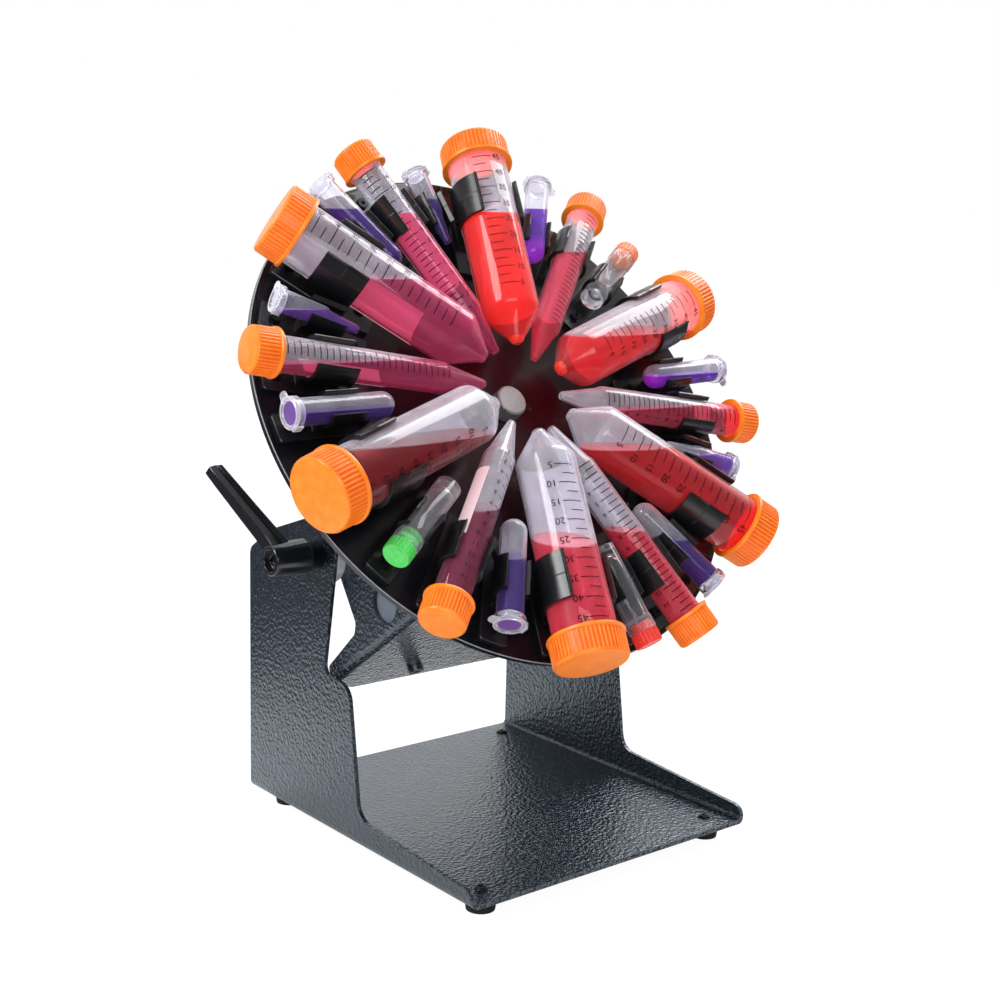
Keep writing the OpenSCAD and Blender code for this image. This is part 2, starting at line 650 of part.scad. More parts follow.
// Cross-section of a clip for a tube of radius r at height up.
module clip_section(r, up, foot_w) {
  inner = r + clip_gap;
  outer = inner + clip_wall;
  half = clip_mouth / 2;
  difference() {
    union() {
      translate([0, up]) circle(outer);
      translate([-foot_w / 2, clip_base_t - tiny]) square([foot_w, up - clip_base_t - inner * 0.7]);
    }
    translate([0, up]) circle(inner);
    translate([0, up]) polygon([[0, 0], [-3 * outer * sin(half), 3 * outer * cos(half)],
      [3 * outer * sin(half), 3 * outer * cos(half)]]);
  }
  lip = inner + clip_wall / 2;
  for (s = [-1, 1]) translate([s * lip * sin(half), up + lip * cos(half)]) rotate([0, 0, -s * half])
    translate([-clip_wall / 2 + s * 0.25, -clip_wall / 2]) square([clip_wall, clip_wall * 0.9]);
}

module clip(r, up, arm_w, base_wide, foot_w) difference() {
  union() {
    linear_extrude(clip_base_t) polygon(rounded(
      [[-base_wide / 2, clip_base_in], [base_wide / 2, clip_base_in],
       [base_wide / 2, clip_base_out], [-base_wide / 2, clip_base_out]],
      [for (i = [1 : 4]) clip_corner_r]));
    translate([0, clip_mid + arm_w / 2, 0]) rotate([90, 0, 0]) linear_extrude(arm_w)
      clip_section(r, up, foot_w);
  }
  for (y = [clip_screw_in, clip_screw_out]) translate([0, y, -1])
    cylinder(r = clip_screw_r + 0.1, h = clip_base_t + 2);
}

module clips_50ml() color([0.07, 0.07, 0.08]) for (s = SLOTS) if (s[KIND] == "50")
  at_bearing(s[0]) clip(tube50_r, tube50_up, arm50_w, 21, 14);
module clips_15ml() color([0.07, 0.07, 0.08]) for (s = SLOTS) if (s[KIND] == "15")
  at_bearing(s[0]) clip(tube15_r, tube15_up, 20, 17, 9);
module clips_small() color([0.07, 0.07, 0.08]) for (s = SLOTS) if (s[KIND] == "snap" || s[KIND] == "cryo")
  at_bearing(s[0]) clip(small_r, small_up, 17, 14, 7);
module clips_micro() color([0.07, 0.07, 0.08]) for (s = SLOTS) if (s[KIND] == "micro")
  at_bearing(s[0]) clip(micro_r, small_up, 17, 14, 7);

module clip_screws() color([0.2, 0.21, 0.22]) for (s = SLOTS, y = [clip_screw_in, clip_screw_out])
  at_bearing(s[0]) translate([0, y, clip_base_t])
    pan_screw(clip_screw_r, clip_base_t + disc_t, clip_screw_head_r, 1.7, 1.1);

module thumb_screw() color([0.58, 0.57, 0.57]) on_spindle(disc_out) {
  linear_extrude(thumb_h - 1) toothed(thumb_r, 0.45, 40);
  translate([0, 0, thumb_h - 1 - tiny]) cylinder(r1 = thumb_r - 0.5, r2 = thumb_r - 1.3, h = 1);
  translate([0, 0, -disc_t - 6]) cylinder(r = thumb_shank_r, h = disc_t + 6 + tiny);
}

/* --- tubes --- */
// Conical tube without its hollow, its wall moved in by inset above the tip.
module tube_solid(tip, cone, mouth, l, inset) rotate_extrude()
  polygon([[0, 0], [tip, 0], [mouth - body_draft - inset, cone], [mouth - inset, l], [0, l]]);

module conical_tube(tip, cone, mouth, l, wall) difference() {
  tube_solid(tip, cone, mouth, l, 0);
  translate([0, 0, wall]) tube_solid(tip - wall * 0.4, cone, mouth, l, wall);
}

// Inside of a conical tube below the level plane, up to height top. Where the
// plane lies almost along the tube, the liquid's thin edge is cut off.
module tube_sample(s, up, tip, cone, mouth, l, wall, top) {
  slope = cos(tilt) * cos(first_bearing + s[0]);
  run = 0.92 * (mouth - body_draft - wall) / tan(asin(abs(slope)));
  low = slope < 0 ? max(0, s[LEVEL] - run) : 0;
  high = slope > 0 ? min(top, s[LEVEL] + run) : top;
  intersection() {
    in_slot(s, up) intersection() {
      translate([0, 0, wall + liquid_gap])
        tube_solid(tip - wall * 0.4 - liquid_gap, cone, mouth, l, wall + liquid_gap);
      translate([0, 0, low]) cylinder(r = mouth, h = high - low);
    }
    level_block(s, up);
  }
}

// Everything below the level of the liquid in slot s.
module level_block(s, up) {
  b = first_bearing + s[0];
  y = spindle_up + (s[TIP] + s[LEVEL]) * cos(b);
  z = disc_out + up;
  h = pivot_z + y * cos(tilt) + z * sin(tilt);
  translate([-300, -300, h - 600]) cube([600, 600, 600]);
}

// Ribbed screw cap for a mouth of radius r, with a smooth ring at its open end.
module screw_cap(r, h, ribs) difference() {
  union() {
    translate([0, 0, 1.5]) linear_extrude(h - 2.3) toothed(r + cap_wall, cap_rib, ribs);
    translate([0, 0, h - 0.8 - tiny])
      cylinder(r1 = r + cap_wall - cap_rib - tiny, r2 = r + cap_wall - 1.2, h = 0.8);
    cylinder(r = r + cap_wall + 0.6, h = 1.6);
  }
  translate([0, 0, -1]) cylinder(r = r + cap_gap, h = h - cap_rim + 1);
}

module each_slot(kind, up) for (s = SLOTS) if (s[KIND] == kind) in_slot(s, up) children();

module tubes_50ml() color([0.85, 0.87, 0.9, 0.4]) each_slot("50", tube50_up)
  conical_tube(tip50_r, cone50, tube50_r, tube50_l - cap_rim, tube_wall);
module caps_50ml() color([0.98, 0.55, 0.2]) each_slot("50", tube50_up)
  translate([0, 0, tube50_l - cap50_h]) screw_cap(tube50_r, cap50_h, 54);
module samples_50ml() color([0.85, 0.12, 0.2]) for (s = SLOTS) if (s[KIND] == "50")
  tube_sample(s, tube50_up, tip50_r, cone50, tube50_r, tube50_l - cap_rim, tube_wall, tube50_l - 4);

module tubes_15ml() color([0.85, 0.87, 0.9, 0.4]) each_slot("15", tube15_up)
  conical_tube(tip15_r, cone15, tube15_r, tube15_l - cap_rim, tube_wall);
module caps_15ml() color([0.98, 0.55, 0.2]) each_slot("15", tube15_up)
  translate([0, 0, tube15_l - cap15_h]) screw_cap(tube15_r, cap15_h, 40);
module samples_15ml() color([0.9, 0.25, 0.4]) for (s = SLOTS) if (s[KIND] == "15")
  tube_sample(s, tube15_up, tip15_r, cone15, tube15_r, tube15_l - cap_rim, tube_wall, tube15_l - 4);

module round_tube(r, l) {
  translate([0, 0, r]) sphere(r);
  translate([0, 0, r]) cylinder(r = r, h = l - r);
}

// Thumb tab of a snap lid on +x and, opposite, the hinge strap folded down past the rim.
module lid_ends(r, tab) {
  linear_extrude(lid_t) polygon(rounded(
    [[r - 1, -2.5], [r + tab, -1.8], [r + tab, 1.8], [r - 1, 2.5]], [0, 1.2, 1.2, 0], 3));
  translate([-r - lid_rim - strap_gap - strap_t, -strap_w / 2, 0]) {
    cube([strap_gap + strap_t + 2, strap_w, lid_t]);
    translate([0, 0, -2.2]) cube([strap_t, strap_w, 2.2 + tiny]);
  }
}

module snap_tubes() color([0.85, 0.85, 0.92, 0.4]) each_slot("snap", small_up) difference() {
  union() {
    round_tube(small_r, snap_l);
    translate([0, 0, snap_l - 2.5]) cylinder(r = small_r + lid_rim, h = 2.5);
  }
  translate([0, 0, small_wall]) round_tube(small_r - small_wall, snap_l);
}
module snap_lids() color([0.85, 0.85, 0.92, 0.5]) each_slot("snap", small_up) translate([0, 0, snap_l]) {
  cylinder(r = small_r + lid_rim, h = lid_t);
  translate([0, 0, -3]) cylinder(r = small_r - small_wall - plug_gap, h = 3 + tiny);
  lid_ends(small_r, 4);
}
module snap_samples() color([0.45, 0.15, 0.7]) for (s = SLOTS) if (s[KIND] == "snap") intersection() {
  in_slot(s, small_up) translate([0, 0, small_wall + liquid_gap])
    round_tube(small_r - small_wall - liquid_gap, snap_l - small_wall - 3.5);
  level_block(s, small_up);
}

module micro_tubes() color([0.85, 0.85, 0.92, 0.4]) each_slot("micro", small_up) {
  conical_tube(micro_tip_r, micro_cone, micro_r, micro_l, small_wall);
  difference() {
    translate([0, 0, micro_l - 2]) cylinder(r = micro_r + lid_rim, h = 2);
    translate([0, 0, micro_l - 3]) cylinder(r = micro_r - 0.2, h = 4);
  }
}
module micro_lids() color([0.85, 0.85, 0.92, 0.5]) each_slot("micro", small_up) translate([0, 0, micro_l]) {
  cylinder(r = micro_r + lid_rim, h = lid_t);
  translate([0, 0, -3]) cylinder(r = micro_r - small_wall - plug_gap, h = 3 + tiny);
  lid_ends(micro_r, 3.5);
}
module micro_samples() color([0.45, 0.15, 0.7]) for (s = SLOTS) if (s[KIND] == "micro")
  tube_sample(s, small_up, micro_tip_r, micro_cone, micro_r, micro_l, small_wall, micro_l - 4);

module cryo_vials() color([0.85, 0.87, 0.9, 0.4]) each_slot("cryo", small_up) difference() {
  union() {
    cylinder(r = small_r, h = cryo_l);
    translate([0, 0, cryo_l - 6.5]) linear_extrude(6) toothed(small_r + 0.45, 0.35, 26);
  }
  translate([0, 0, cryo_floor]) round_tube(small_r - small_wall, cryo_l);
  translate([0, 0, -1]) cylinder(r = small_r - small_wall, h = 3);
}
module cryo_caps() color([0.9, 0.3, 0.15]) each_slot("cryo", small_up) translate([0, 0, cryo_l - 2]) {
  translate([0, 0, 2]) linear_extrude(6) toothed(small_r + 0.4, 0.3, 26);
  translate([0, 0, 8 - tiny]) cylinder(r1 = small_r + 0.1 - tiny, r2 = small_r - 0.5, h = 0.5);
  translate([0, 0, -2]) cylinder(r = small_r - small_wall - plug_gap, h = 4 + tiny);
}

translate([0, stand_back, 0]) {
  base_frame();
  rubber_feet();
  foot_screws();
  friction_washers();
  pivot_screw();
  clamp_stud();
  clamp_screw();
  clamp_spring();
  clamp_handle();
  carriage_bracket();
  pivot_nuts();
  motor_plate();
  plate_screws();
  gearbox();
  motor_can();
  gearbox_screws();
  shaft_bush();
  drive_cover();
  cover_screws();
  power_inlet();
  switch_body();
  switch_rocker();
  control_board();
  board_pillars();
  drive_shaft();
  hub();
  hub_set_screws();
  drive_pins();
  disc();
  clips_50ml();
  clips_15ml();
  clips_small();
  clips_micro();
  clip_screws();
  thumb_screw();
  tubes_50ml();
  caps_50ml();
  samples_50ml();
  tubes_15ml();
  caps_15ml();
  samples_15ml();
  snap_tubes();
  snap_lids();
  snap_samples();
  micro_tubes();
  micro_lids();
  micro_samples();
  cryo_vials();
  cryo_caps();
}
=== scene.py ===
"""Looks of a bench tube rotator: a bent-sheet stand, a tilting carriage with its drive,
and a disc of spring clips that turns capped tubes of liquid."""

import math

import bmesh
import bpy
from mathutils import Matrix, Vector


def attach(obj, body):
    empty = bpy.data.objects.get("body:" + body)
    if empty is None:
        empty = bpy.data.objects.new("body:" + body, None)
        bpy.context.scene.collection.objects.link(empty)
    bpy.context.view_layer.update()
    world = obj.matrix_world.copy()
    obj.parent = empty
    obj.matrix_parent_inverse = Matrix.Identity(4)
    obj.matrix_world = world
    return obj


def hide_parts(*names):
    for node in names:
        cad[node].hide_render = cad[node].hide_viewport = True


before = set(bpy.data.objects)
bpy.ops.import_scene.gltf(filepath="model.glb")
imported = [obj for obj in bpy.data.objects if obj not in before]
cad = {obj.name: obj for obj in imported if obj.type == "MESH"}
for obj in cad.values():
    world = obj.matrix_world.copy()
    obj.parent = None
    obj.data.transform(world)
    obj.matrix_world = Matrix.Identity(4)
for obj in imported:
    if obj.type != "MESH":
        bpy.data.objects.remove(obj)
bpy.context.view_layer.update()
MM = 0.001


# Stand: one steel sheet bent to a floor plate and two side walls, sprayed with
# dark glossy hammertone paint, whose film dries in small dimples.
class Wire:
    """A node's output that ordinary sums, products and powers can be written with."""

    def __init__(self, board, socket):
        self.board = board
        self.socket = socket

    def out(self, name):
        return Wire(self.board, self.socket.node.outputs[name])

    def maths(self, operation, *values):
        return self.board.node("ShaderNodeMath", {"operation": operation}, *values)

    def __add__(self, other):
        return self.maths("ADD", self, other)

    def __sub__(self, other):
        return self.maths("SUBTRACT", self, other)

    def __rsub__(self, other):
        return self.maths("SUBTRACT", other, self)

    def __mul__(self, other):
        return self.maths("MULTIPLY", self, other)

    def __truediv__(self, other):
        return self.maths("DIVIDE", self, other)

    def __pow__(self, other):
        return self.maths("POWER", self, other)

    def __gt__(self, other):
        return self.maths("GREATER_THAN", self, other)

    __radd__ = __add__
    __rmul__ = __mul__

    def step(self, low, high):
        """0 below low, 1 above high, and an even ramp between them."""
        return self.board.node("ShaderNodeMapRange", {}, self, low, high, 0.0, 1.0)


class Board:
    """A node tree that nodes are added to one call at a time."""

    def __init__(self, tree):
        self.tree = tree

    def feed(self, socket, value):
        if isinstance(value, Wire):
            self.tree.links.new(value.socket, socket)
        elif value is not None:
            socket.default_value = value

    def node(self, kind, settings, *values, **named):
        """Adds a node: its settings, then its sockets in order, then some by name."""
        made = self.tree.nodes.new(kind)
        for key, value in settings.items():
            setattr(made, key, value)
        for socket, value in zip(made.inputs, values):
            self.feed(socket, value)
        for name, value in named.items():
            self.feed(made.inputs[name.replace("_", " ")], value)
        return Wire(self, made.outputs[0]) if made.outputs else made

    def along_z(self, length):
        """The vector (0, 0, length)."""
        return self.node("ShaderNodeCombineXYZ", {}, 0.0, 0.0, length)


class Finish(Board):
    """A material with a Principled shader, whose surface detail is built by calls."""

    def __init__(self, name, colour, roughness, **sockets):
        self.material = bpy.data.materials.new(name)
        self.material.use_nodes = True
        super().__init__(self.material.node_tree)
        self.shader = self.tree.nodes["Principled BSDF"]
        self.output = self.tree.nodes["Material Output"]
        self.set(Base_Color=colour, Roughness=roughness, **sockets)
        self.plain = Wire(self, self.shader.outputs[0])
        self.where = self.node("ShaderNodeTexCoord", {}).out("Object")

    def set(self, **sockets):
        for name, value in sockets.items():
            if isinstance(value, tuple) and len(value) == 3:
                value = (*value, 1.0)
            self.feed(self.shader.inputs[name.replace("_", " ")], value)
        return self

    def show(self, share, first, second):
        """Shows the shader first where share is 0, second where it is 1."""
        mixed = self.node("ShaderNodeMixShader", {}, share, first, second)
        self.feed(self.output.inputs["Surface"], mixed)

    def far(self, point):
        """Distance from a point."""
        return self.node(
            "ShaderNodeVectorMath", {"operation": "DISTANCE"}, self.where, tuple(point)
        ).out("Value")

    def noise(self, size, detail=2.0, rough=0.5, where=None):
        """Cloudy noise, its blotches about size metres wide."""
        return self.node(
            "ShaderNodeTexNoise", {}, Vector=where or self.where,
            Scale=1 / size, Detail=detail, Roughness=rough,
        )

    def cells(self, size, where=None, feature="SMOOTH_F1"):
        return self.node(
            "ShaderNodeTexVoronoi", {"feature": feature}, Vector=where or self.where,
            Scale=1 / size,
        )

    def blend(self, share, first, second):
        """Colour first where share is 0, second where it is 1."""
        made = self.tree.nodes.new("ShaderNodeMix")
        made.data_type = "RGBA"
        self.feed(made.inputs[0], share)
        for socket, value in ((made.inputs[6], first), (made.inputs[7], second)):
            self.feed(socket, (*value, 1.0) if isinstance(value, tuple) else value)
        return Wire(self, made.outputs[2])

    def relief(self, height, depth, strength=1.0, edges=0.0):
        """Bumps of height times depth metres; edges rounds sharp edges by that radius."""
        under = self.node("ShaderNodeBevel", {"samples": 4}, edges) if edges else None
        self.set(Normal=self.node(
            "ShaderNodeBump", {}, Strength=strength, Distance=depth, Height=height,
            Normal=under,
        ))
        return self

    def on(self, *names):
        """Gives the finish to CAD nodes."""
        for name in names:
            for slot in cad[name].material_slots:
                slot.material = self.material
        return self


def shade(red, green, blue):
    """A colour as seen on a screen, 0 to 255, as the shader's linear numbers."""
    return tuple(
        part / 255 / 12.92 if part < 11 else ((part / 255 + 0.055) / 1.055) ** 2.4
        for part in (red, green, blue)
    )


DIMPLE = 1.7 * MM
EDGE_RADIUS = 0.5 * MM

hammertone = Finish(
    "hammertone paint", shade(24, 32, 42), 0.2, IOR=1.75, Specular_IOR_Level=0.85,
    Specular_Tint=(0.76, 0.89, 1.0), Coat_Weight=0.1, Coat_Roughness=0.06,
)
warp = hammertone.node(
    "ShaderNodeVectorMath", {"operation": "MULTIPLY_ADD"},
    hammertone.noise(2 * DIMPLE).out("Color"), (0.7 * DIMPLE,) * 3, hammertone.where,
)
dimples = hammertone.cells(DIMPLE, warp)
flow = hammertone.noise(12 * MM, 3.0)
fleck = hammertone.noise(0.9 * MM, 3.0, 0.6)
hammertone.set(
    Base_Color=hammertone.blend(
        (dimples * 0.7 + fleck * 0.9).step(0.42, 0.95), shade(3, 7, 13), shade(16, 26, 40)
    ),
    Roughness=flow * 0.06 + fleck * 0.1 + 0.02,
)
hammertone.relief(dimples + fleck * 0.5 + flow * 0.3, 0.6 * MM, 1.0, EDGE_RADIUS)
hammertone.on("base_frame", "carriage_bracket", "motor_plate")


# Feet: four moulded rubber feet, each held by a socket screw from above the
# floor plate. The other screws are zinc plated or blackened.
rubber = Finish("foot rubber", shade(22, 22, 24), 0.7)
rubber.relief(rubber.noise(0.4 * MM, 4.0), 0.05 * MM, 0.5, EDGE_RADIUS).on("rubber_feet")

zinc = Finish("zinc plated screws", shade(150, 152, 156), 0.34, Metallic=1.0)
zinc_cloud = zinc.noise(1.5 * MM, 4.0)
zinc.set(
    Base_Color=zinc.blend(zinc_cloud, shade(108, 111, 118), shade(178, 180, 184)),
    Roughness=zinc_cloud * 0.25 + 0.25,
)
zinc.relief(zinc.noise(0.2 * MM), 0.02 * MM, 0.4, 0.15 * MM)
zinc.on("pivot_screw", "pivot_nuts", "plate_screws", "gearbox_screws", "cover_screws")

blackened = Finish("blackened screws", shade(34, 36, 40), 0.38, Metallic=0.9)
blackened.set(Roughness=blackened.noise(0.8 * MM, 3.0) * 0.3 + 0.25)
blackened.relief(blackened.noise(0.3 * MM), 0.02 * MM, 0.4, 0.15 * MM)
blackened.on("clip_screws", "hub_set_screws", "clamp_screw", "clamp_stud", "clamp_spring")


# Friction washers: turned rings of pale acetal between the uprights and the
# ears, pressed together by the clamping lever.
acetal = Finish("pale acetal", shade(196, 199, 203), 0.45)
acetal.set(Base_Color=acetal.blend(
    acetal.noise(3 * MM, 4.0).step(0.3, 0.75), shade(176, 180, 186), shade(212, 214, 217)
))
acetal.relief(acetal.noise(0.3 * MM, 3.0), 0.03 * MM, 0.6, 0.4 * MM).on("friction_washers")


# Clamping lever: glass-filled nylon moulded in one piece, a tapered hub with a
# recessed screw and a slim faceted arm with rounded edges.
PIVOT = Vector((0.0, 39 * MM, 139.5 * MM))
HUB_IN, HUB_L = -92.5 * MM, 19.0  # the hub's inner end, and its length in millimetres
WELD = 1e-6


def added(name, data):
    """A new object in the scene."""
    thing = bpy.data.objects.new(name, data)
    bpy.context.scene.collection.objects.link(thing)
    return thing


def mesh_of(form, name="spare"):
    """Ends a bmesh as a mesh whose faces look outward."""
    bmesh.ops.remove_doubles(form, verts=form.verts, dist=WELD)
    bmesh.ops.recalc_face_normals(form, faces=form.faces)
    mesh = bpy.data.meshes.new(name)
    form.to_mesh(mesh)
    form.free()
    return mesh


def finish_mesh(name, form, *finishes, sharp=35.0, place=None):
    """Makes an object of the bmesh, smooth but for edges sharper than the angle."""
    mesh = mesh_of(form, name)
    if place is not None:
        mesh.transform(place)
    mesh.polygons.foreach_set("use_smooth", [True] * len(mesh.polygons))
    mesh.set_sharp_from_angle(angle=math.radians(sharp))
    for finish in finishes:
        mesh.materials.append(finish.material)
    return added(name, mesh)


def evaluated(thing):
    """The plain mesh that an object's modifiers or letters make."""
    graph = bpy.context.evaluated_depsgraph_get()
    return bpy.data.meshes.new_from_object(thing.evaluated_get(graph))


def settle(thing, body, slot, *replaced):
    """Applies the modifiers, then hands the piece to its body."""
    if thing.modifiers:
        thing.data = evaluated(thing)
        thing.modifiers.clear()
    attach(thing, body)
    if replaced:
        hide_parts(*replaced)


def round_edges(thing, width, segments=2, angle=30.0):
    bevel = thing.modifiers.new("rounded edges", "BEVEL")
    bevel.width = width
    bevel.segments = segments
    bevel.limit_method = "ANGLE"
    bevel.angle_limit = math.radians(angle)
    bevel.harden_normals = False


def loft(form, rings):
    """Skins a list of equal rings of points and closes both ends."""
    rows = [[form.verts.new(point) for point in ring] for ring in rings]
    count = len(rows[0])
    for low, high in zip(rows, rows[1:]):
        for i in range(count):
            j = (i + 1) % count
            form.faces.new((low[i], low[j], high[j], high[i]))
    form.faces.new(rows[0][::-1])
    form.faces.new(rows[-1])


def lathe(form, profile, steps, place=Matrix.Identity(4)):
    """Turns a profile of (radius, height), in millimetres, about z."""
    rows = []
    for radius, height in profile:
        ring = [
            form.verts.new(place @ (Vector((
                radius * math.cos(2 * math.pi * i / steps),
                radius * math.sin(2 * math.pi * i / steps), height,
            )) * MM)) for i in range(steps if radius else 1)
        ]
        rows.append(ring if radius else ring * steps)
    for low, high in zip(rows, rows[1:]):
        for i in range(steps):
            j = (i + 1) % steps
            corners = [low[i], low[j], high[j], high[i]]
            corners = [c for n, c in enumerate(corners) if c not in corners[:n]]
            if len(corners) > 2:
                form.faces.new(corners)


nylon = Finish("black nylon", shade(20, 22, 26), 0.28, Specular_IOR_Level=0.85)
nylon.set(Roughness=nylon.noise(4 * MM, 3.0) * 0.12 + 0.12)
nylon.relief(nylon.noise(0.25 * MM, 3.0), 0.03 * MM, 0.5)

hub_form = bmesh.new()
lathe(hub_form, [
    (5.0, 0.0), (8.0, 0.0), (8.6, 0.8), (8.5, 2.0), (8.3, 5.0), (7.5, HUB_L - 5.0),
    (7.2, HUB_L - 0.8), (6.9, HUB_L - 0.2), (6.5, HUB_L), (5.3, HUB_L), (5.0, HUB_L - 0.4),
    (4.8, HUB_L - 3.5), (2.4, HUB_L - 3.6), (2.4, 7.0), (5.0, 6.9), (5.0, 0.0),
], 64)
lever_axes = (
    Matrix.Translation(PIVOT + Vector((HUB_IN, 0, 0))) @ Matrix.Rotation(-math.pi / 2, 4, "Y")
)
hub = finish_mesh("lever_hub", hub_form, nylon, sharp=30, place=lever_axes)

ARM_BEARING = math.radians(46)
CHAMFER = 0.33  # of the arm's half width
arm_form = bmesh.new()
loft(arm_form, [
    [Vector((along, side * half_width, middle + lift * depth)) * MM for side, lift in (
        (-1, -0.5), (-1, 0.1), (CHAMFER - 1, 0.5), (1 - CHAMFER, 0.5), (1, 0.1), (1, -0.5),
    )] for along, middle, half_width, depth in (
        (2.0, 12.6, 6.0, 9.0), (8.0, 13.2, 5.6, 8.4), (14.0, 14.9, 5.2, 7.6),
        (30.0, 20.0, 4.6, 7.2), (44.0, 24.4, 4.1, 6.9), (52.5, 27.0, 3.7, 6.6),
    )
])
arm = finish_mesh(
    "lever_arm", arm_form, nylon, sharp=30,
    place=lever_axes @ Matrix.Rotation(math.pi / 2 - ARM_BEARING, 4, "Z"),
)
round_edges(hub, 0.2 * MM)
round_edges(arm, 0.45 * MM, 3, 20)
settle(hub, "clamp_lever", "lever_plastic", "clamp_handle")
settle(arm, "clamp_lever", "lever_plastic")


# Foot screws: four low black button heads on the floor plate, each with a
# socket, set one over every rubber foot.
def growth(name, **sockets):
    """A geometry node tree with a mesh input and the named inputs, and its board."""
    tree = bpy.data.node_groups.new(name, "GeometryNodeTree")
    tree.interface.new_socket("Geometry", in_out="OUTPUT", socket_type="NodeSocketGeometry")
    for socket, kind in {"Geometry": "Geometry", **sockets}.items():
        tree.interface.new_socket(socket, in_out="INPUT", socket_type=f"NodeSocket{kind}")
    board = Board(tree)
    return board, board.node("NodeGroupInput", {})


def joined(board, given, made):
    """The instances made real, together with the mesh that came in."""
    real = board.node("GeometryNodeRealizeInstances", {}, made)
    both = board.node("GeometryNodeJoinGeometry", {}, real)
    board.feed(both.socket.node.inputs[0], given.out("Geometry"))
    return both


def ripen(board, given, shape):
    """Ends a tree: instances made real, the material set."""
    real = board.node("GeometryNodeRealizeInstances", {}, shape)
    done = board.node("GeometryNodeSetMaterial", {}, real, Material=given.out("Material"))
    board.node("NodeGroupOutput", {}, done)
    return board.tree


def grown(tree, start, **inputs):
    """Runs a tree on a mesh and gives the plain mesh it makes."""
    thing = added("seed", start)
    modifier = thing.modifiers.new("growth", "NODES")
    modifier.node_group = tree
    for item in tree.interface.items_tree:
        if item.in_out == "INPUT" and item.name in inputs:
            modifier[item.identifier] = inputs[item.name]
    mesh = evaluated(thing)
    bpy.data.objects.remove(thing)
    mesh.polygons.foreach_set("material_index", [0] * len(mesh.polygons))
    return mesh


PLATE_TOP, FOOT_X, FOOT_Y = 9 * MM, 70 * MM, (-68 * MM, 88 * MM)
HEAD_R, HEAD_H = 3.3 * MM, 1.2 * MM
heads, given = growth("button heads", Radius="Float", Height="Float", Material="Material")
radius, height = given.out("Radius"), given.out("Height")
head_points = heads.node(
    "GeometryNodeTransform", {}, given.out("Geometry"), Translation=heads.along_z(height * -0.02)
)
dome_part = heads.node(
    "GeometryNodeMeshCone", {}, 24, 1, 1, Radius_Top=radius * 0.6, Radius_Bottom=radius,
    Depth=height
)
socket_part = heads.node(
    "GeometryNodeMeshCone", {}, 6, 1, 1,
    Radius_Top=radius * 0.36, Radius_Bottom=radius * 0.3, Depth=height * 1.12,
)
head_part = heads.node(
    "GeometryNodeMeshBoolean", {"operation": "DIFFERENCE"}, dome_part, socket_part
)
head_tree = ripen(heads, given, heads.node(
    "GeometryNodeInstanceOnPoints", {}, head_points, Instance=head_part
))
corners = bpy.data.meshes.new("foot corners")
corners.from_pydata([(x, y, PLATE_TOP) for x in (-FOOT_X, FOOT_X) for y in FOOT_Y], [], [])
foot_heads = bmesh.new()
foot_heads.from_mesh(grown(
    head_tree, corners, Radius=HEAD_R, Height=HEAD_H, Material=blackened.material
))
settle(
    finish_mesh("foot_screw_heads", foot_heads, blackened, sharp=30),
    "stand", "screw_steel", "foot_screws",
)


# Blanking discs: smooth painted plates glued inside the ears, closing the
# round hole that each ear has below the motor.
plain_paint = Finish(
    "smooth plate paint", shade(106, 116, 128), 0.3, Specular_Tint=(0.84, 0.93, 1.0)
)
plain_paint.set(Roughness=plain_paint.noise(7 * MM, 3.0) * 0.12 + 0.24)
plain_paint.relief(plain_paint.noise(0.6 * MM, 3.0), 0.02 * MM, 0.3)
TILT = math.radians(36)
carriage = Matrix.Translation(PIVOT) @ Matrix.Rotation(math.pi / 2 - TILT, 4, "X")
ear_hole = carriage @ Matrix.Translation((0, -38.5 * MM, 27.5 * MM))
for name, side in (("blank_left", -1), ("blank_right", 1)):
    plate_form = bmesh.new()
    lathe(plate_form, [
        (0, 76.0), (10.2, 76.0), (10.5, 76.2), (10.5, 76.7), (10.3, 76.9), (0, 76.9),
    ], 48, ear_hole @ Matrix.Rotation(side * math.pi / 2, 4, "Y"))
    settle(finish_mesh(name, plate_form, plain_paint, sharp=30), "carriage", "cover_paint")


# Drive: a geared motor on a plate between the ears, under a smooth painted
# cover with vents, a rocker switch and a round power inlet.
satin_paint = Finish("smooth grey paint", shade(70, 79, 90), 0.38)
satin_paint.set(Roughness=satin_paint.noise(9 * MM, 3.0) * 0.12 + 0.32)
satin_paint.relief(satin_paint.noise(0.6 * MM, 3.0), 0.03 * MM, 0.4, 0.6 * MM).on("drive_cover")

machined = Finish("machined metal", shade(160, 162, 166), 0.32, Metallic=1.0)
rings = machined.node(
    "ShaderNodeTexWave", {"wave_type": "BANDS", "bands_direction": "Z"},
    Vector=machined.where, Scale=900.0, Distortion=1.5,
)
machined.set(Roughness=rings * 0.14 + 0.24)
machined.relief(rings, 0.01 * MM, 0.3, 0.3 * MM)
machined.on("gearbox", "hub", "motor_can", "drive_shaft", "drive_pins")

brass = Finish("turned brass", shade(190, 158, 96), 0.3, Metallic=1.0)
brass.set(Roughness=brass.noise(0.6 * MM, 3.0) * 0.2 + 0.2)
brass.relief(brass.noise(0.2 * MM), 0.01 * MM, 0.3, 0.2 * MM).on("shaft_bush", "board_pillars")

black_plastic = Finish("black moulding", shade(24, 24, 26), 0.4)
black_plastic.set(Roughness=black_plastic.noise(2 * MM, 3.0) * 0.15 + 0.32)
black_plastic.relief(black_plastic.noise(0.3 * MM), 0.02 * MM, 0.4, 0.3 * MM)
black_plastic.on("power_inlet", "switch_body", "switch_rocker")

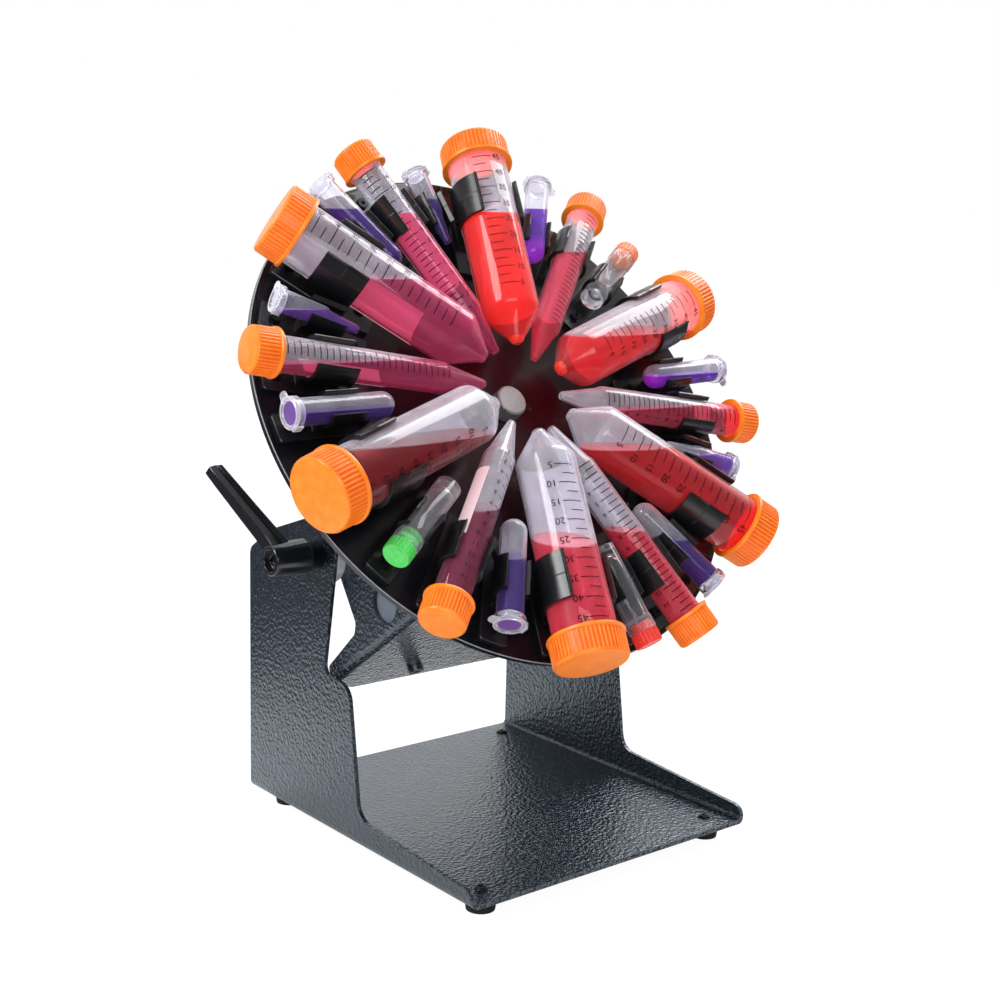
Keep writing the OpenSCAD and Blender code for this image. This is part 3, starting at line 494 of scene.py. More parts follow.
board_green = Finish("solder mask", shade(20, 92, 56), 0.3)
traces = board_green.cells(3 * MM, feature="F1").step(0.45, 0.5)
board_green.set(Base_Color=board_green.blend(traces, shade(18, 84, 50), shade(40, 120, 74)))
board_green.relief(traces, 0.03 * MM, 0.5, 0.2 * MM).on("control_board")


# Disc: a 3 mm plate of black gloss plastic sheet, sawn round, its rim scraped
# to a pale matt edge, held on the hub by one knurled screw.
disc_face = carriage @ Matrix.Translation((0, 36.5 * MM, 62.5 * MM))
DISC_R, DISC_T, DISC_EDGE = 131.0, 3.0, 0.35
# round the hub the sheet's colour is a painted red glow, standing in for the dyes' light
RED_GLOW_TO, RED_GLOW_GONE_FROM = 45 * MM, 115 * MM  # from the hub, the reach of the dyes' light


def gloss_sheet(name, middle):
    """Black sheet; middle is its colour round the hub, a painted red glow where the dyes throw
    light on it.
    """
    sheet = Finish(name, shade(20, 22, 28), 0.22, Specular_IOR_Level=0.25)
    speck = sheet.noise(0.5 * MM, 4.0)
    ragged = sheet.far(disc_face.translation) + sheet.noise(22 * MM, 2.0) * 40 * MM
    sheet.set(
        Base_Color=sheet.blend(ragged.step(RED_GLOW_TO, RED_GLOW_GONE_FROM), middle, shade(15, 16, 21)),
        Roughness=sheet.noise(25 * MM, 4.0) * 0.14 + speck * 0.06 + 0.12,
    )
    return sheet.relief(speck, 0.02 * MM, 0.25)


disc_sheet = gloss_sheet("black gloss sheet", shade(20, 20, 25))
# the front face takes the painted red glow round the hub
disc_front = gloss_sheet("black gloss sheet under the dyes", shade(44, 8, 15))
sheet_side = gloss_sheet("sheet edge", shade(20, 20, 25)).set(Specular_IOR_Level=0.9)

sawn_edge = Finish("scraped sheet edge", shade(130, 135, 142), 0.5)
sawn_edge.set(Base_Color=sawn_edge.blend(
    sawn_edge.noise(2 * MM, 4.0), shade(104, 110, 120), shade(156, 160, 168)
))
sawn_edge.relief(sawn_edge.noise(0.3 * MM, 3.0), 0.03 * MM, 0.6)

disc_form = bmesh.new()
lathe(disc_form, [
    (3.1, 0.0), (60, 0.0), (DISC_R - DISC_EDGE, 0.0), (DISC_R, -DISC_EDGE),
    (DISC_R, DISC_EDGE - DISC_T), (DISC_R - DISC_EDGE, -DISC_T), (60, -DISC_T),
    (3.1, -DISC_T), (3.1, 0.0),
], 256, disc_face)
disc = finish_mesh(
    "disc_plate", disc_form, disc_sheet, sawn_edge, disc_front, sheet_side, sharp=30
)
for face in disc.data.polygons:
    x, y, z = (disc_face.inverted() @ face.center) / MM
    out = math.hypot(x, y)
    if DISC_R - 0.3 < out < DISC_R - 0.05:
        face.material_index = 1
    elif z > -0.1:
        face.material_index = 2
    elif out > DISC_R - 0.1:
        face.material_index = 3
settle(disc, "rotor", "disc_plastic", "disc")

satin_steel = Finish("knurled alloy", shade(190, 190, 190), 0.4, Metallic=0.8)
brushed = satin_steel.noise(0.3 * MM, 3.0, 0.6, satin_steel.node(
    "ShaderNodeVectorMath", {"operation": "MULTIPLY"}, satin_steel.where, (0.12, 1.0, 1.0)
))
satin_steel.set(
    Base_Color=satin_steel.blend(brushed, shade(138, 138, 140), shade(192, 192, 192)),
    Roughness=brushed * 0.2 + 0.3,
)
satin_steel.relief(brushed, 0.02 * MM, 0.5)
THUMB_R, THUMB_H, THUMB_TEETH = 8.0, 9.0, 48


def toothed(radius, depth, teeth, height):
    """A ring of teeth, its lengths in millimetres."""
    ring = []
    for i in range(2 * teeth):
        angle, reach = math.pi * i / teeth, radius - depth * (i % 2)
        ring.append(Vector((reach * math.cos(angle), reach * math.sin(angle), height)) * MM)
    return ring


thumb_form = bmesh.new()
loft(thumb_form, [toothed(THUMB_R - inset, depth, THUMB_TEETH, z) for inset, depth, z in (
    (0.8, 0.0, 0.2), (0.0, 0.45, 0.7), (0.0, 0.45, THUMB_H - 0.8), (0.7, 0.1, THUMB_H - 0.15),
    (1.0, 0.0, THUMB_H),
)])
lathe(thumb_form, [(0, -9.0), (2.6, -9.0), (3.0, -8.6), (3.0, 0.3), (0, 0.3)], 32)
thumb = finish_mesh("thumb_knob", thumb_form, satin_steel, sharp=25, place=disc_face)
settle(thumb, "thumb", "thumb_metal", "thumb_screw")


# Clips: black acetal spring clips in four sizes, moulded in two halves so that
# a faint parting line crosses the arms, each screwed to the disc.
FIRST_BEARING = 11.5
# bearing, kind, radius of the lower end, level of the liquid
SLOTS = [
    (0, "50", 24, 76), (18, "snap", 85, 36), (30, "15", 21.5, 82), (43, "cryo", 87, 0),
    (60, "50", 24, 60), (76, "snap", 85, 24), (90, "15", 21.5, 49), (102, "micro", 86, 18),
    (120, "50", 24, 30), (136, "snap", 77, 22), (150, "15", 21.5, 59), (162, "cryo", 83.5, 0),
    (180, "50", 24, 56), (196, "snap", 72, 18.5), (210, "15", 21.5, 54), (223, "cryo", 75.5, 0),
    (240, "50", 24, 46), (257.5, "snap", 74.5, 30), (270, "15", 21.5, 80),
    (284, "micro", 85.5, 27), (300, "50", 24, 67), (318, "snap", 82, 37), (330, "15", 21.5, 83),
    (344, "micro", 84, 26),
]
KINDS = {  # radius at the clip, height over the disc, arm width, base width, foot width
    "50": (14.7, 22.0, 22.0, 21.0, 14.0), "15": (8.2, 18.0, 20.0, 17.0, 9.0),
    "snap": (6.1, 15.5, 17.0, 14.0, 7.0), "cryo": (6.1, 15.5, 17.0, 14.0, 7.0),
    "micro": (5.4, 15.5, 17.0, 14.0, 7.0),
}


def slots_of(*kinds):
    return [slot for slot in SLOTS if slot[1] in kinds]


def at_bearing(bearing):
    """On the disc's face, y out along the bearing, z away from the disc."""
    return disc_face @ Matrix.Rotation(-math.radians(FIRST_BEARING + bearing), 4, "Z")


def in_slot(slot, roll=0.0):
    """Tube axes: z from the lower end to the cap, -y away from the disc."""
    up = KINDS[slot[1]][1] * MM
    return (
        at_bearing(slot[0]) @ Matrix.Translation((0, slot[2] * MM, up))
        @ Matrix.Rotation(-math.pi / 2, 4, "X") @ Matrix.Rotation(math.radians(roll), 4, "Z")
    )


acetal_black = Finish("black acetal", shade(19, 20, 22), 0.24, Specular_IOR_Level=0.65)
acetal_black.set(Roughness=acetal_black.noise(6 * MM, 4.0) * 0.16 + 0.16)
acetal_black.relief(
    acetal_black.noise(0.9 * MM, 4.0) * 0.7 + acetal_black.noise(0.15 * MM) * 0.3,
    0.04 * MM, 0.5, 0.3 * MM,
)
CLIP_WALL, CLIP_GAP, CLIP_MOUTH = 1.8, 0.15, 48.0
BASE_IN, BASE_OUT, BASE_T, ARM_MIDDLE = 75.0, 128.0, 3.0, 102.0


def clip_half(radius, up, foot):
    """Right half of a clip's section, from the foot round the outside and back."""
    inner = radius + CLIP_GAP
    outer = inner + CLIP_WALL
    start = math.degrees(math.asin(min(0.95, foot / 2 / outer)))
    points = [(0.0, BASE_T - 0.2), (foot / 2, BASE_T - 0.2)]
    steps = 14
    for i in range(steps + 1):
        angle = math.radians(180 - start - (180 - start - CLIP_MOUTH) * i / steps)
        points.append((outer * math.sin(angle), up + outer * math.cos(angle)))
    lip = math.radians(CLIP_MOUTH - 2)
    points.append(((outer + 0.7) * math.sin(lip), up + (outer + 0.7) * math.cos(lip)))
    points.append(((outer + 0.4) * math.sin(lip - 0.06), up + (outer + 0.4) * math.cos(lip - 0.06)))
    points.append((inner * math.sin(lip), up + inner * math.cos(lip)))
    for i in range(steps + 1):
        angle = math.radians(CLIP_MOUTH + (180 - CLIP_MOUTH) * i / steps)
        points.append((inner * math.sin(angle), up + inner * math.cos(angle)))
    return points


def add_clip(form, kind, place):
    radius, up, arm, base, foot = KINDS[kind]
    right = clip_half(radius, up, foot)
    outline = right + [(-x, z) for x, z in right[-2:0:-1]]
    rings = []
    for y in (-arm / 2, -0.25, -0.1, 0.1, 0.25, arm / 2):
        swell = 0.12 if abs(y) < 0.2 else 0.0
        rings.append([
            place @ (Vector((
                x + swell * (1 if x > 0 else -1) * (abs(x) > radius * 0.6),
                ARM_MIDDLE - y, z,
            )) * MM) for x, z in outline
        ])
    loft(form, rings)
    corner, half, slabs = 1.5, base / 2, []
    for z in (0.0, BASE_T - 0.4, BASE_T):
        inset = 0.4 if z == BASE_T else 0.0
        slab = []
        for cx, cy, turn in (
            (half, BASE_OUT, 0), (-half, BASE_OUT, 90), (-half, BASE_IN, 180), (half, BASE_IN, 270),
        ):
            sx, sy = (1 if cx > 0 else -1), (1 if cy == BASE_OUT else -1)
            for i in range(4):
                angle = math.radians(turn + 30 * i)
                slab.append(place @ (Vector((
                    cx - sx * (corner + inset) + corner * math.cos(angle),
                    cy - sy * (corner + inset) + corner * math.sin(angle), z,
                )) * MM))
        slabs.append(slab)
    loft(form, slabs)


for node, kinds in (
    ("clips_50ml", ("50",)), ("clips_15ml", ("15",)), ("clips_small", ("snap", "cryo")),
    ("clips_micro", ("micro",)),
):
    clip_form = bmesh.new()
    for slot in slots_of(*kinds):
        add_clip(clip_form, slot[1], at_bearing(slot[0]))
    clips = finish_mesh(node.replace("clips", "spring_clips"), clip_form, acetal_black, sharp=30)
    settle(clips, "rotor", "clip_plastic", node)


# Tubes: clear polypropylene, moulded thin, a little milky at the edges. Lamps
# shine through the walls, so the liquid inside is lit.
def clear_plastic(name, tint, roughness, haze, haze_colour, veil):
    """Glass-like wall: light from lamps passes, its edges turn milky, a veil lies over it."""
    wall = Finish(name, tint, roughness, Transmission_Weight=1.0, IOR=1.36)
    facing = wall.node("ShaderNodeLayerWeight", {}, 0.5).out("Facing")
    milk = wall.node("ShaderNodeBsdfDiffuse", {}, (*haze_colour, 1.0))
    clouds = wall.noise(9 * MM, 3.0)
    wall.relief(wall.noise(4 * MM, 2.0), 0.06 * MM, 0.2)
    shown = wall.node(
        "ShaderNodeMixShader", {}, (facing ** 2.5) * haze + clouds * veil, wall.plain, milk
    )
    lamp = wall.node("ShaderNodeLightPath", {}).out("Is Shadow Ray")
    wall.show(lamp, shown, wall.node("ShaderNodeBsdfTransparent", {}, (0.95, 0.95, 0.96, 1.0)))
    return wall


wet_wall = clear_plastic(
    "wetted polypropylene", (0.98, 0.97, 0.99), 0.05, 0.16, (0.86, 0.7, 0.76), 0.03
)
dry_wall = clear_plastic(
    "dry polypropylene", (0.97, 0.97, 1.0), 0.07, 0.36, (0.8, 0.79, 0.88), 0.2
)
DRAFT = 0.7  # a tube is this much narrower above its cone than at its mouth
CONES = {  # lower end radius, cone length, mouth radius, length to the mouth, wall
    "50": (3.5, 16.0, 14.7, 113.8, 1.0), "15": (2.0, 23.0, 8.2, 117.8, 1.0),
    "micro": (1.8, 17.0, 5.4, 40.0, 0.9),
}


def tube_profile(tip, cone, mouth, length, wall):
    """Closed outline of a conical tube, from the middle of its end to the mouth and back."""
    side, nose = mouth - DRAFT, tip * 0.55
    inside = max(tip - wall * 0.5, 0.8)
    return [
        (0, 0.25), (tip * 0.3, 0.2), (tip * 0.4, 0.0), (tip * 0.7, 0.1), (tip * 0.94, nose * 0.5),
        (tip + 0.1, nose), (side - 1.0, cone - 1.3), (side - 0.3, cone - 0.2), (side, cone + 1.4),
        (mouth, length - 0.4), (mouth - 0.3, length), (mouth - wall + 0.2, length),
        (mouth - wall, length - 0.4), (side - wall, cone + 1.6), (side - wall - 0.35, cone + 0.1),
        (side - wall - 1.0, cone - 1.0), (inside, nose + wall), (inside * 0.6, wall + 0.25),
        (0, wall),
    ]


def liquid_top(slot):
    """Height over the bench of the liquid's level in a slot."""
    return (in_slot(slot) @ Vector((0, 0, slot[3] * MM))).z


def cut_flat(form, height, **options):
    """Cuts the form along the level plane and gives the new edges."""
    cut = bmesh.ops.bisect_plane(
        form, geom=form.verts[:] + form.edges[:] + form.faces[:], plane_co=(0, 0, height),
        plane_no=(0, 0, 1), **options,
    )
    return [part for part in cut["geom_cut"] if isinstance(part, bmesh.types.BMEdge)]


def per_slot(kind, shape, steps, name, slot_name, node, dry, wet):
    """Turns the profile once in every slot of the kind; wet is the finish below the level."""
    whole = bmesh.new()
    for slot in slots_of(kind):
        one = bmesh.new()
        lathe(one, shape, steps, in_slot(slot))
        cut_flat(one, liquid_top(slot))
        for face in one.faces:
            face.material_index = int(face.calc_center_median().z < liquid_top(slot))
        place(whole, mesh_of(one))
    settle(finish_mesh(name, whole, dry, wet, sharp=40), "rotor", slot_name, node)


def place(form, mesh, matrix=Matrix.Identity(4)):
    """Adds a copy of the mesh, put where the matrix says."""
    copy = mesh.copy()
    copy.transform(matrix)
    form.from_mesh(copy)
    bpy.data.meshes.remove(copy)


for kind, steps, name, node in (
    ("50", 72, "tubes_large", "tubes_50ml"), ("15", 56, "tubes_medium", "tubes_15ml"),
):
    shape = tube_profile(*CONES[kind])
    per_slot(kind, shape, steps, name, "clear_tube", node, dry_wall, wet_wall)


# Liquid: dyed water standing level in the tubes. What lies behind a tube shows
# through it, tinted, so the white writing panels make it glow. The dye also carries
# a painted glow: emission in its own colour stands in for light scattered inside it.
SUNK = 0.35  # the liquid wets the wall, so its skin lies a little inside the plastic


def cone_liquid(kind, top):
    tip, cone, mouth, length, wall = CONES[kind]
    inset = wall - SUNK
    side, nose = mouth - DRAFT - inset, tip * 0.55
    return [
        (0, inset), (tip * 0.4, inset + 0.1), (tip - 0.3, nose + inset), (side - 1.0, cone - 0.9),
        (side - 0.35, cone + 0.2), (side, cone + 1.6), (mouth - inset, top), (0, top),
    ]


def liquid(name, body, tint, share, glow=0.1, lit=None):
    """Dye: a share of it scatters its own colour, and the rest tints what lies behind.

    lit is a point, a reach and a colour: round the point the dye is painted in that colour and made
    to glow.
    """
    # glow is a painted emission in the dye's own colour
    dye = Finish(
        name, body, 0.25, Specular_IOR_Level=0.2, Emission_Color=body, Emission_Strength=glow
    )
    cloud = dye.noise(18 * MM, 2.0)
    dye.set(Base_Color=dye.blend(cloud.step(0.3, 0.7), body, tuple(part * 0.82 for part in body)))
    if lit:
        # painted glow: round the point the colour turns brighter and glows more
        point, reach, colour = lit
        painted_glow = dye.blend(dye.far(point).step(reach, reach * 0.25), body, colour)
        dye.set(Base_Color=painted_glow, Emission_Color=painted_glow, Emission_Strength=0.22)
    clear = dye.node("ShaderNodeBsdfTransparent", {}, (*tint, 1.0))
    edge = dye.node("ShaderNodeLayerWeight", {}, 0.5).out("Facing")
    dye.show(cloud * 0.1 + (edge ** 3) * 0.5 + (share - 0.05), clear, dye.plain)
    return dye


def fill(kind, node, shape, dyes, slot_name, bright=None, bright_end=0.0):
    """One liquid body per slot of the kind, in one piece, each slot in its own dye.

    The lowest bright_end millimetres of a liquid take the brighter dye that bright has for it: a
    painted glow in the tip.
    """
    bright = bright or {}
    made, finishes = bmesh.new(), list(dict.fromkeys([*dyes.values(), *bright.values()]))
    for slot in slots_of(kind):
        one = bmesh.new()
        lathe(one, shape, 48, in_slot(slot))
        bmesh.ops.remove_doubles(one, verts=one.verts, dist=WELD)
        bmesh.ops.contextual_create(one, geom=cut_flat(one, liquid_top(slot), clear_outer=True))
        back = in_slot(slot).inverted()
        for face in one.faces:
            low = (back @ face.calc_center_median()).z < bright_end * MM
            dye = bright.get(slot[0], dyes[slot[0]]) if low else dyes[slot[0]]
            face.material_index = finishes.index(dye)
        place(made, mesh_of(one))
    thing = finish_mesh(node.replace("samples", "liquid"), made, *finishes, sharp=40)
    settle(thing, "rotor", slot_name, node)


scarlet = liquid("scarlet dye", shade(250, 38, 36), (1.0, 0.26, 0.22), 0.3, 0.16)
crimson = liquid("crimson dye", shade(226, 30, 40), (1.0, 0.22, 0.24), 0.3, 0.14)
# a brighter, more glowing copy of the scarlet, painted into the tips as a glow
scarlet_tip_glow = liquid("scarlet dye in the tip", shade(255, 60, 40), (1.0, 0.3, 0.24), 0.6, 0.3)
garnet = liquid("garnet dye", shade(206, 30, 40), (1.0, 0.22, 0.24), 0.32, 0.08)
maroon = liquid("maroon dye", shade(130, 18, 32), (0.9, 0.18, 0.22), 0.32, 0.04)
cherry = liquid("cherry dye", shade(214, 50, 92), (1.0, 0.46, 0.54), 0.28, 0.1)
coral = liquid("coral dye", shade(226, 60, 88), (1.0, 0.4, 0.48), 0.34, 0.14)
rose = liquid("rose dye", shade(206, 60, 124), (1.0, 0.48, 0.62), 0.26, 0.08)
wine = liquid("wine dye", shade(132, 40, 78), (0.8, 0.3, 0.42), 0.4, 0.04)
fill("50", "samples_50ml", cone_liquid("50", 112.0), {
    0: scarlet, 60: crimson, 120: garnet, 180: coral, 240: maroon, 300: rose,
}, "red_sample", {0: scarlet_tip_glow, 60: scarlet_tip_glow}, 6.0)
# two medium tubes take a brighter coral in their cones, a painted glow
fill("15", "samples_15ml", cone_liquid("15", 116.0), {
    30: cherry, 90: cherry, 150: coral, 210: wine, 270: rose, 330: rose,
}, "pink_sample", {30: coral, 210: coral}, 23.0)


# Print: black graduations with numbers and a white writing panel, pad-printed
# round every tube, each tube dropped into its clip at its own turn.
ink = Finish("black ink", shade(14, 12, 16), 0.6, Specular_IOR_Level=0.15)
ink.set(Base_Color=ink.blend(ink.noise(0.4 * MM, 3.0), shade(8, 6, 10), shade(26, 22, 30)))
# the white panel ink carries a painted glow: an emission standing in for the light it catches
glowing_panel_ink = Finish(
    "white panel ink", shade(206, 172, 182), 0.5, Emission_Color=(1.0, 0.84, 0.88),
    Emission_Strength=0.36,
)
glowing_panel_ink.set(Roughness=glowing_panel_ink.noise(2 * MM, 3.0) * 0.3 + 0.4)
panel_shaded = Finish("white panel ink in shade", shade(150, 140, 156), 0.5)
panel_shaded.set(Base_Color=panel_shaded.blend(
    panel_shaded.noise(25 * MM, 2.0).step(0.3, 0.7), shade(128, 118, 134), shade(172, 158, 172)
))
# bearings whose panel faces the dark disc instead of the lamps
SHADED = (120, 150, 180, 240)
LINE, INK_OUT = 0.42, 0.09  # width of a tick, and how far the print stands off the wall

wrap, given = growth(
    "print wrapped round a tube", Count="Int", Start="Float", Pitch="Float", Every="Int",
    Short="Float", Long="Float", Line="Float", Radius="Float", Draft="Float", Material="Material",
)
marks = wrap.node(
    "GeometryNodeMeshLine", {}, given.out("Count"),
    Start_Location=wrap.along_z(given.out("Start")), Offset=wrap.along_z(given.out("Pitch")),
)
strip = wrap.node(
    "GeometryNodeTransform", {},
    wrap.node("GeometryNodeMeshGrid", {}, 1.0, given.out("Line"), 13, 2),
    Translation=(0.5, 0.0, 0.0),
)
upright = wrap.node("GeometryNodeTransform", {}, strip, Rotation=(math.pi / 2, 0.0, 0.0))
which = wrap.node("GeometryNodeInputIndex", {})
odd = which.maths("MODULO", which, given.out("Every")) > 0.5
reach = given.out("Long") + odd * (given.out("Short") - given.out("Long"))
ticks = wrap.node(
    "GeometryNodeInstanceOnPoints", {}, marks, Instance=upright,
    Scale=wrap.node("ShaderNodeCombineXYZ", {}, reach, 1.0, 1.0),
)
flat = joined(wrap, given, ticks)
spot = wrap.node("ShaderNodeSeparateXYZ", {}, wrap.node("GeometryNodeInputPosition", {}))
radius = given.out("Radius") + given.out("Draft") * spot.out("Z")
turn = spot.out("X") / given.out("Radius")
wrapped = wrap.node(
    "GeometryNodeSetPosition", {}, flat,
    Position=wrap.node(
        "ShaderNodeCombineXYZ", {},
        radius * turn.maths("COSINE", turn), radius * turn.maths("SINE", turn), spot.out("Z"),
    ),
)
wrap_tree = ripen(wrap, given, wrapped)


def number_sheet(numbers, size, left):
    """Flat numbers in the x-z plane: x round the tube, z along it."""
    sheet = bmesh.new()
    for text, z in numbers:
        curve = bpy.data.curves.new("number", "FONT")
        curve.body, curve.size, curve.resolution_u = text, size * MM, 3
        curve.align_y = "CENTER"
        letter = added("number", curve)
        mesh = evaluated(letter)
        mesh.transform(
            Matrix.Translation((left * MM, 0, z * MM)) @ Matrix.Rotation(math.pi / 2, 4, "X")
        )
        sheet.from_mesh(mesh)
        bpy.data.objects.remove(letter)
        bpy.data.meshes.remove(mesh)
    mesh = bpy.data.meshes.new("numbers")
    sheet.to_mesh(mesh)
    sheet.free()
    return mesh


def panel_sheet(wide, low, high):
    """A flat patch in the x-z plane, fine enough to bend round a tube."""
    sheet = bmesh.new()
    columns, rows = 18, 6
    rise = (high - low) / rows
    grid = [[
        sheet.verts.new((wide * MM * (i / columns - 0.5), 0, (low + rise * j) * MM))
        for i in range(columns + 1)
    ] for j in range(rows + 1)]
    for j in range(rows):
        for i in range(columns):
            sheet.faces.new((grid[j][i], grid[j][i + 1], grid[j + 1][i + 1], grid[j + 1][i]))
    mesh = bpy.data.meshes.new("panel")
    sheet.to_mesh(mesh)
    sheet.free()
    return mesh


# angle at which each tube faces the front left, then the turns from there of
# its graduations and of its panel, the panel's ends along the tube and its width
TURNS = {
    0: (-130, -6, 180, 18, 88, 42), 60: (-79, -22, 190, 24, 90, 40),
    120: (-44, -48, 170, 22, 86, 36), 180: (-50, -52, 185, 14, 92, 36),
    240: (-101, -80, 170, 10, 84, 42), 300: (-136, 14, 226, 33, 100, 25),
    30: (-110, 8, 185, 34, 88, 20), 90: (-55, -46, 180, 88, 97, 22),
    150: (-43, -50, 170, 30, 88, 20), 210: (-70, -100, 58, 36, 76, 9.5),
    270: (-125, 5, 228, 52, 90, 11), 330: (-137, -30, 180, 38, 84, 22),
}


def print_tubes(kind, name, count, start, pitch, short, long, numbers, size, left):
    """Prints every tube of the kind, ticks and numbers in one piece, panels in another."""
    tip, cone, mouth, length, wall = CONES[kind]
    slope = DRAFT / (length - cone)
    foot = (mouth - DRAFT - slope * cone + INK_OUT) * MM
    shared = {"Radius": foot, "Draft": slope, "Start": start * MM, "Pitch": pitch * MM, "Every": 2,
              "Short": short * MM, "Long": long * MM, "Line": LINE * MM}
    scale_mesh = grown(
        wrap_tree, number_sheet(numbers, size, left), Count=count, Material=ink.material, **shared
    )
    scales, panels = bmesh.new(), bmesh.new()
    for slot in SLOTS:
        if slot[1] == kind:
            facing, scale_turn, panel_turn, low, high, wide = TURNS[slot[0]]
            place(scales, scale_mesh, in_slot(slot, facing + scale_turn))
            patch = grown(
                wrap_tree, panel_sheet(wide, low, high), Count=0, Material=glowing_panel_ink.material,
                **shared
            )
            patch.transform(in_slot(slot, facing + panel_turn))
            one = bmesh.new()
            one.from_mesh(patch)
            cut_flat(one, liquid_top(slot))
            # panels on the far side take the painted-shade copy where dry, and wholly at the SHADED
            # bearings
            for face in one.faces:
                dry = face.calc_center_median().z > liquid_top(slot)
                face.material_index = int(panel_turn > 90 and (dry or slot[0] in SHADED))
            one.to_mesh(patch)
            one.free()
            place(panels, patch)
    settle(finish_mesh(f"graduations_{name}", scales, ink), "rotor", "black_plastic")
    settle(finish_mesh(f"panels_{name}", panels, glowing_panel_ink, panel_shaded), "rotor", "small_lid")


print_tubes(
    "50", "large", 17, 25, 4.65, 6.0, 9.0,
    [(str(5 * i), 25 + 9.3 * (i - 1)) for i in range(1, 10)], 4.6, 9.8,
)
print_tubes(
    "15", "medium", 27, 24, 3.1, 5.4, 7.4,
    [(str(i), 24 + 6.2 * (i - 2)) for i in range(2, 15)], 3.2, 9.0,
)


# Caps: ribbed screw caps of orange polypropylene, matt on the ribs, with a
# smooth ring at the open end and a tiny gate mark in the middle of the face.
def cap_plastic(name, first, second, glow):
    """Coloured polypropylene; glow is a painted emission, standing in for the light it lets through
    itself.
    """
    made = Finish(name, first, 0.34, Emission_Color=(1.0, 0.1, 0.06), Emission_Strength=glow)
    marbling = made.noise(5 * MM, 3.0)
    made.set(
        Base_Color=made.blend(marbling.step(0.3, 0.7), first, second),
        Roughness=marbling * 0.12 + 0.26
    )
    return made.relief(made.noise(0.5 * MM, 3.0), 0.03 * MM, 0.35)


orange = cap_plastic("orange polypropylene", shade(253, 124, 12), shade(255, 146, 36), 0.02)
# between the ribs the orange is painted darker: painted shade in the grooves
shaded_groove = cap_plastic("orange between the ribs", shade(240, 92, 8), shade(248, 106, 16), 0.02)
# inside the cap: a deeper orange with a strong painted glow, standing in for light through the
# plastic
inside = cap_plastic("orange inside the cap", shade(250, 64, 40), shade(255, 80, 56), 0.7)

grip, given = growth(
    "ribs round a cap", Ribs="Int", Radius="Float", Start="Float", Length="Float", Width="Float",
    Material="Material",
)
ring = grip.node("GeometryNodeMeshCircle", {}, given.out("Ribs"), given.out("Radius"))
raised = grip.node(
    "GeometryNodeTransform", {}, ring, Translation=grip.along_z(given.out("Start"))
)
rib = grip.node(
    "GeometryNodeMeshCone", {}, 8, 1, 1,
    Radius_Top=given.out("Width") * 0.42, Radius_Bottom=given.out("Width") * 0.5,
    Depth=given.out("Length"),
)
ribs = grip.node("GeometryNodeInstanceOnPoints", {}, raised, Instance=rib)
grip_tree = ripen(grip, given, joined(grip, given, ribs))


def cap_profile(radius, height):
    """Closed outline of a cap, from the middle of its face round the outside to the bore."""
    outer, bore = radius + 2.1, radius + 0.2
    return [
        (0, height), (0.35, height - 0.02), (0.6, height - 0.22), (1.6, height - 0.25),
        (outer - 1.4, height - 0.25), (outer - 0.6, height - 0.4), (outer - 0.1, height - 1.0),
        (outer, height - 1.6), (outer, 1.9), (outer + 0.5, 1.7), (outer + 0.95, 1.35),
        (outer + 1.0, 0.5), (outer + 0.8, 0.05), (outer + 0.4, 0), (bore + 0.4, 0), (bore, 0.4),
        (bore, height - 2.2), (0, height - 2.2),
    ]


for kind, name, node, height, end, ribs_round in (
    ("50", "caps_large", "caps_50ml", 13.5, 116.0, 54),
    ("15", "caps_medium", "caps_15ml", 13.0, 120.0, 40),
):
    radius = CONES[kind][2]
    body = bmesh.new()
    lathe(body, cap_profile(radius, height), 96)
    cap = grown(
        grip_tree, mesh_of(body), Ribs=ribs_round, Radius=(radius + 1.95) * MM,
        Start=1.9 * MM, Length=(height - 3.3) * MM, Width=1.1 * MM, Material=orange.material,
    )
    for face in cap.polygons:
        away = math.hypot(face.center.x, face.center.y) / MM
        # the bore and the underside of the face take the painted glow
        if away < radius + 0.3 and face.center.z < (height - 2) * MM:
            face.material_index = 2
        # the sides between the ribs take the painted-shade orange
        elif away < radius + 2.12 and 1.85 < face.center.z / MM < height - 1.7:
            face.material_index = 1
    caps = bmesh.new()
    for slot in SLOTS:
        if slot[1] == kind:
            place(caps, cap, in_slot(slot) @ Matrix.Translation((0, 0, (end - height) * MM)))
    thing = finish_mesh(name, caps, orange, shaded_groove, inside)
    settle(thing, "rotor", "orange_cap", node)


# Small tubes: snap-lid tubes with round ends, cone-ended micro tubes, and cryo
# vials with a skirted foot, all of thin clear plastic with milkier lids.
small_plastic = clear_plastic(
    "thin clear plastic", (0.96, 0.95, 1.0), 0.05, 0.45, (0.84, 0.83, 0.93), 0.14
)
lid_plastic = clear_plastic(
    "milky lid plastic", (0.95, 0.95, 1.0), 0.1, 0.5, (0.9, 0.9, 0.96), 0.34
)
wet_small = clear_plastic(
    "wetted thin plastic", (0.97, 0.95, 1.0), 0.05, 0.2, (0.7, 0.62, 0.86), 0.03
)
cryo_plastic = clear_plastic("vial plastic", (0.93, 0.94, 0.97), 0.05, 0.4, (0.8, 0.8, 0.86), 0.03)
SNAP_R, SNAP_L, THIN = 6.1, 52.0, 0.9


def dome(radius, centre, steps):
    """Points of a rounded end, from its pole out to its rim."""
    angles = [math.pi / 2 * i / steps for i in range(steps + 1)]
    return [(radius * math.sin(a), centre - radius * math.cos(a)) for a in angles]


per_slot("snap", dome(SNAP_R, SNAP_R, 10) + [
        (SNAP_R, SNAP_L - 3.2), (SNAP_R + 0.8, SNAP_L - 2.6), (SNAP_R + 1.1, SNAP_L - 2.2),
        (SNAP_R + 1.1, SNAP_L - 0.3), (SNAP_R + 0.8, SNAP_L), (SNAP_R - THIN, SNAP_L),
    ] + dome(SNAP_R - THIN, SNAP_R, 10)[::-1], 48, "snap_tube_bodies", "small_tube", "snap_tubes",
    small_plastic, wet_small)

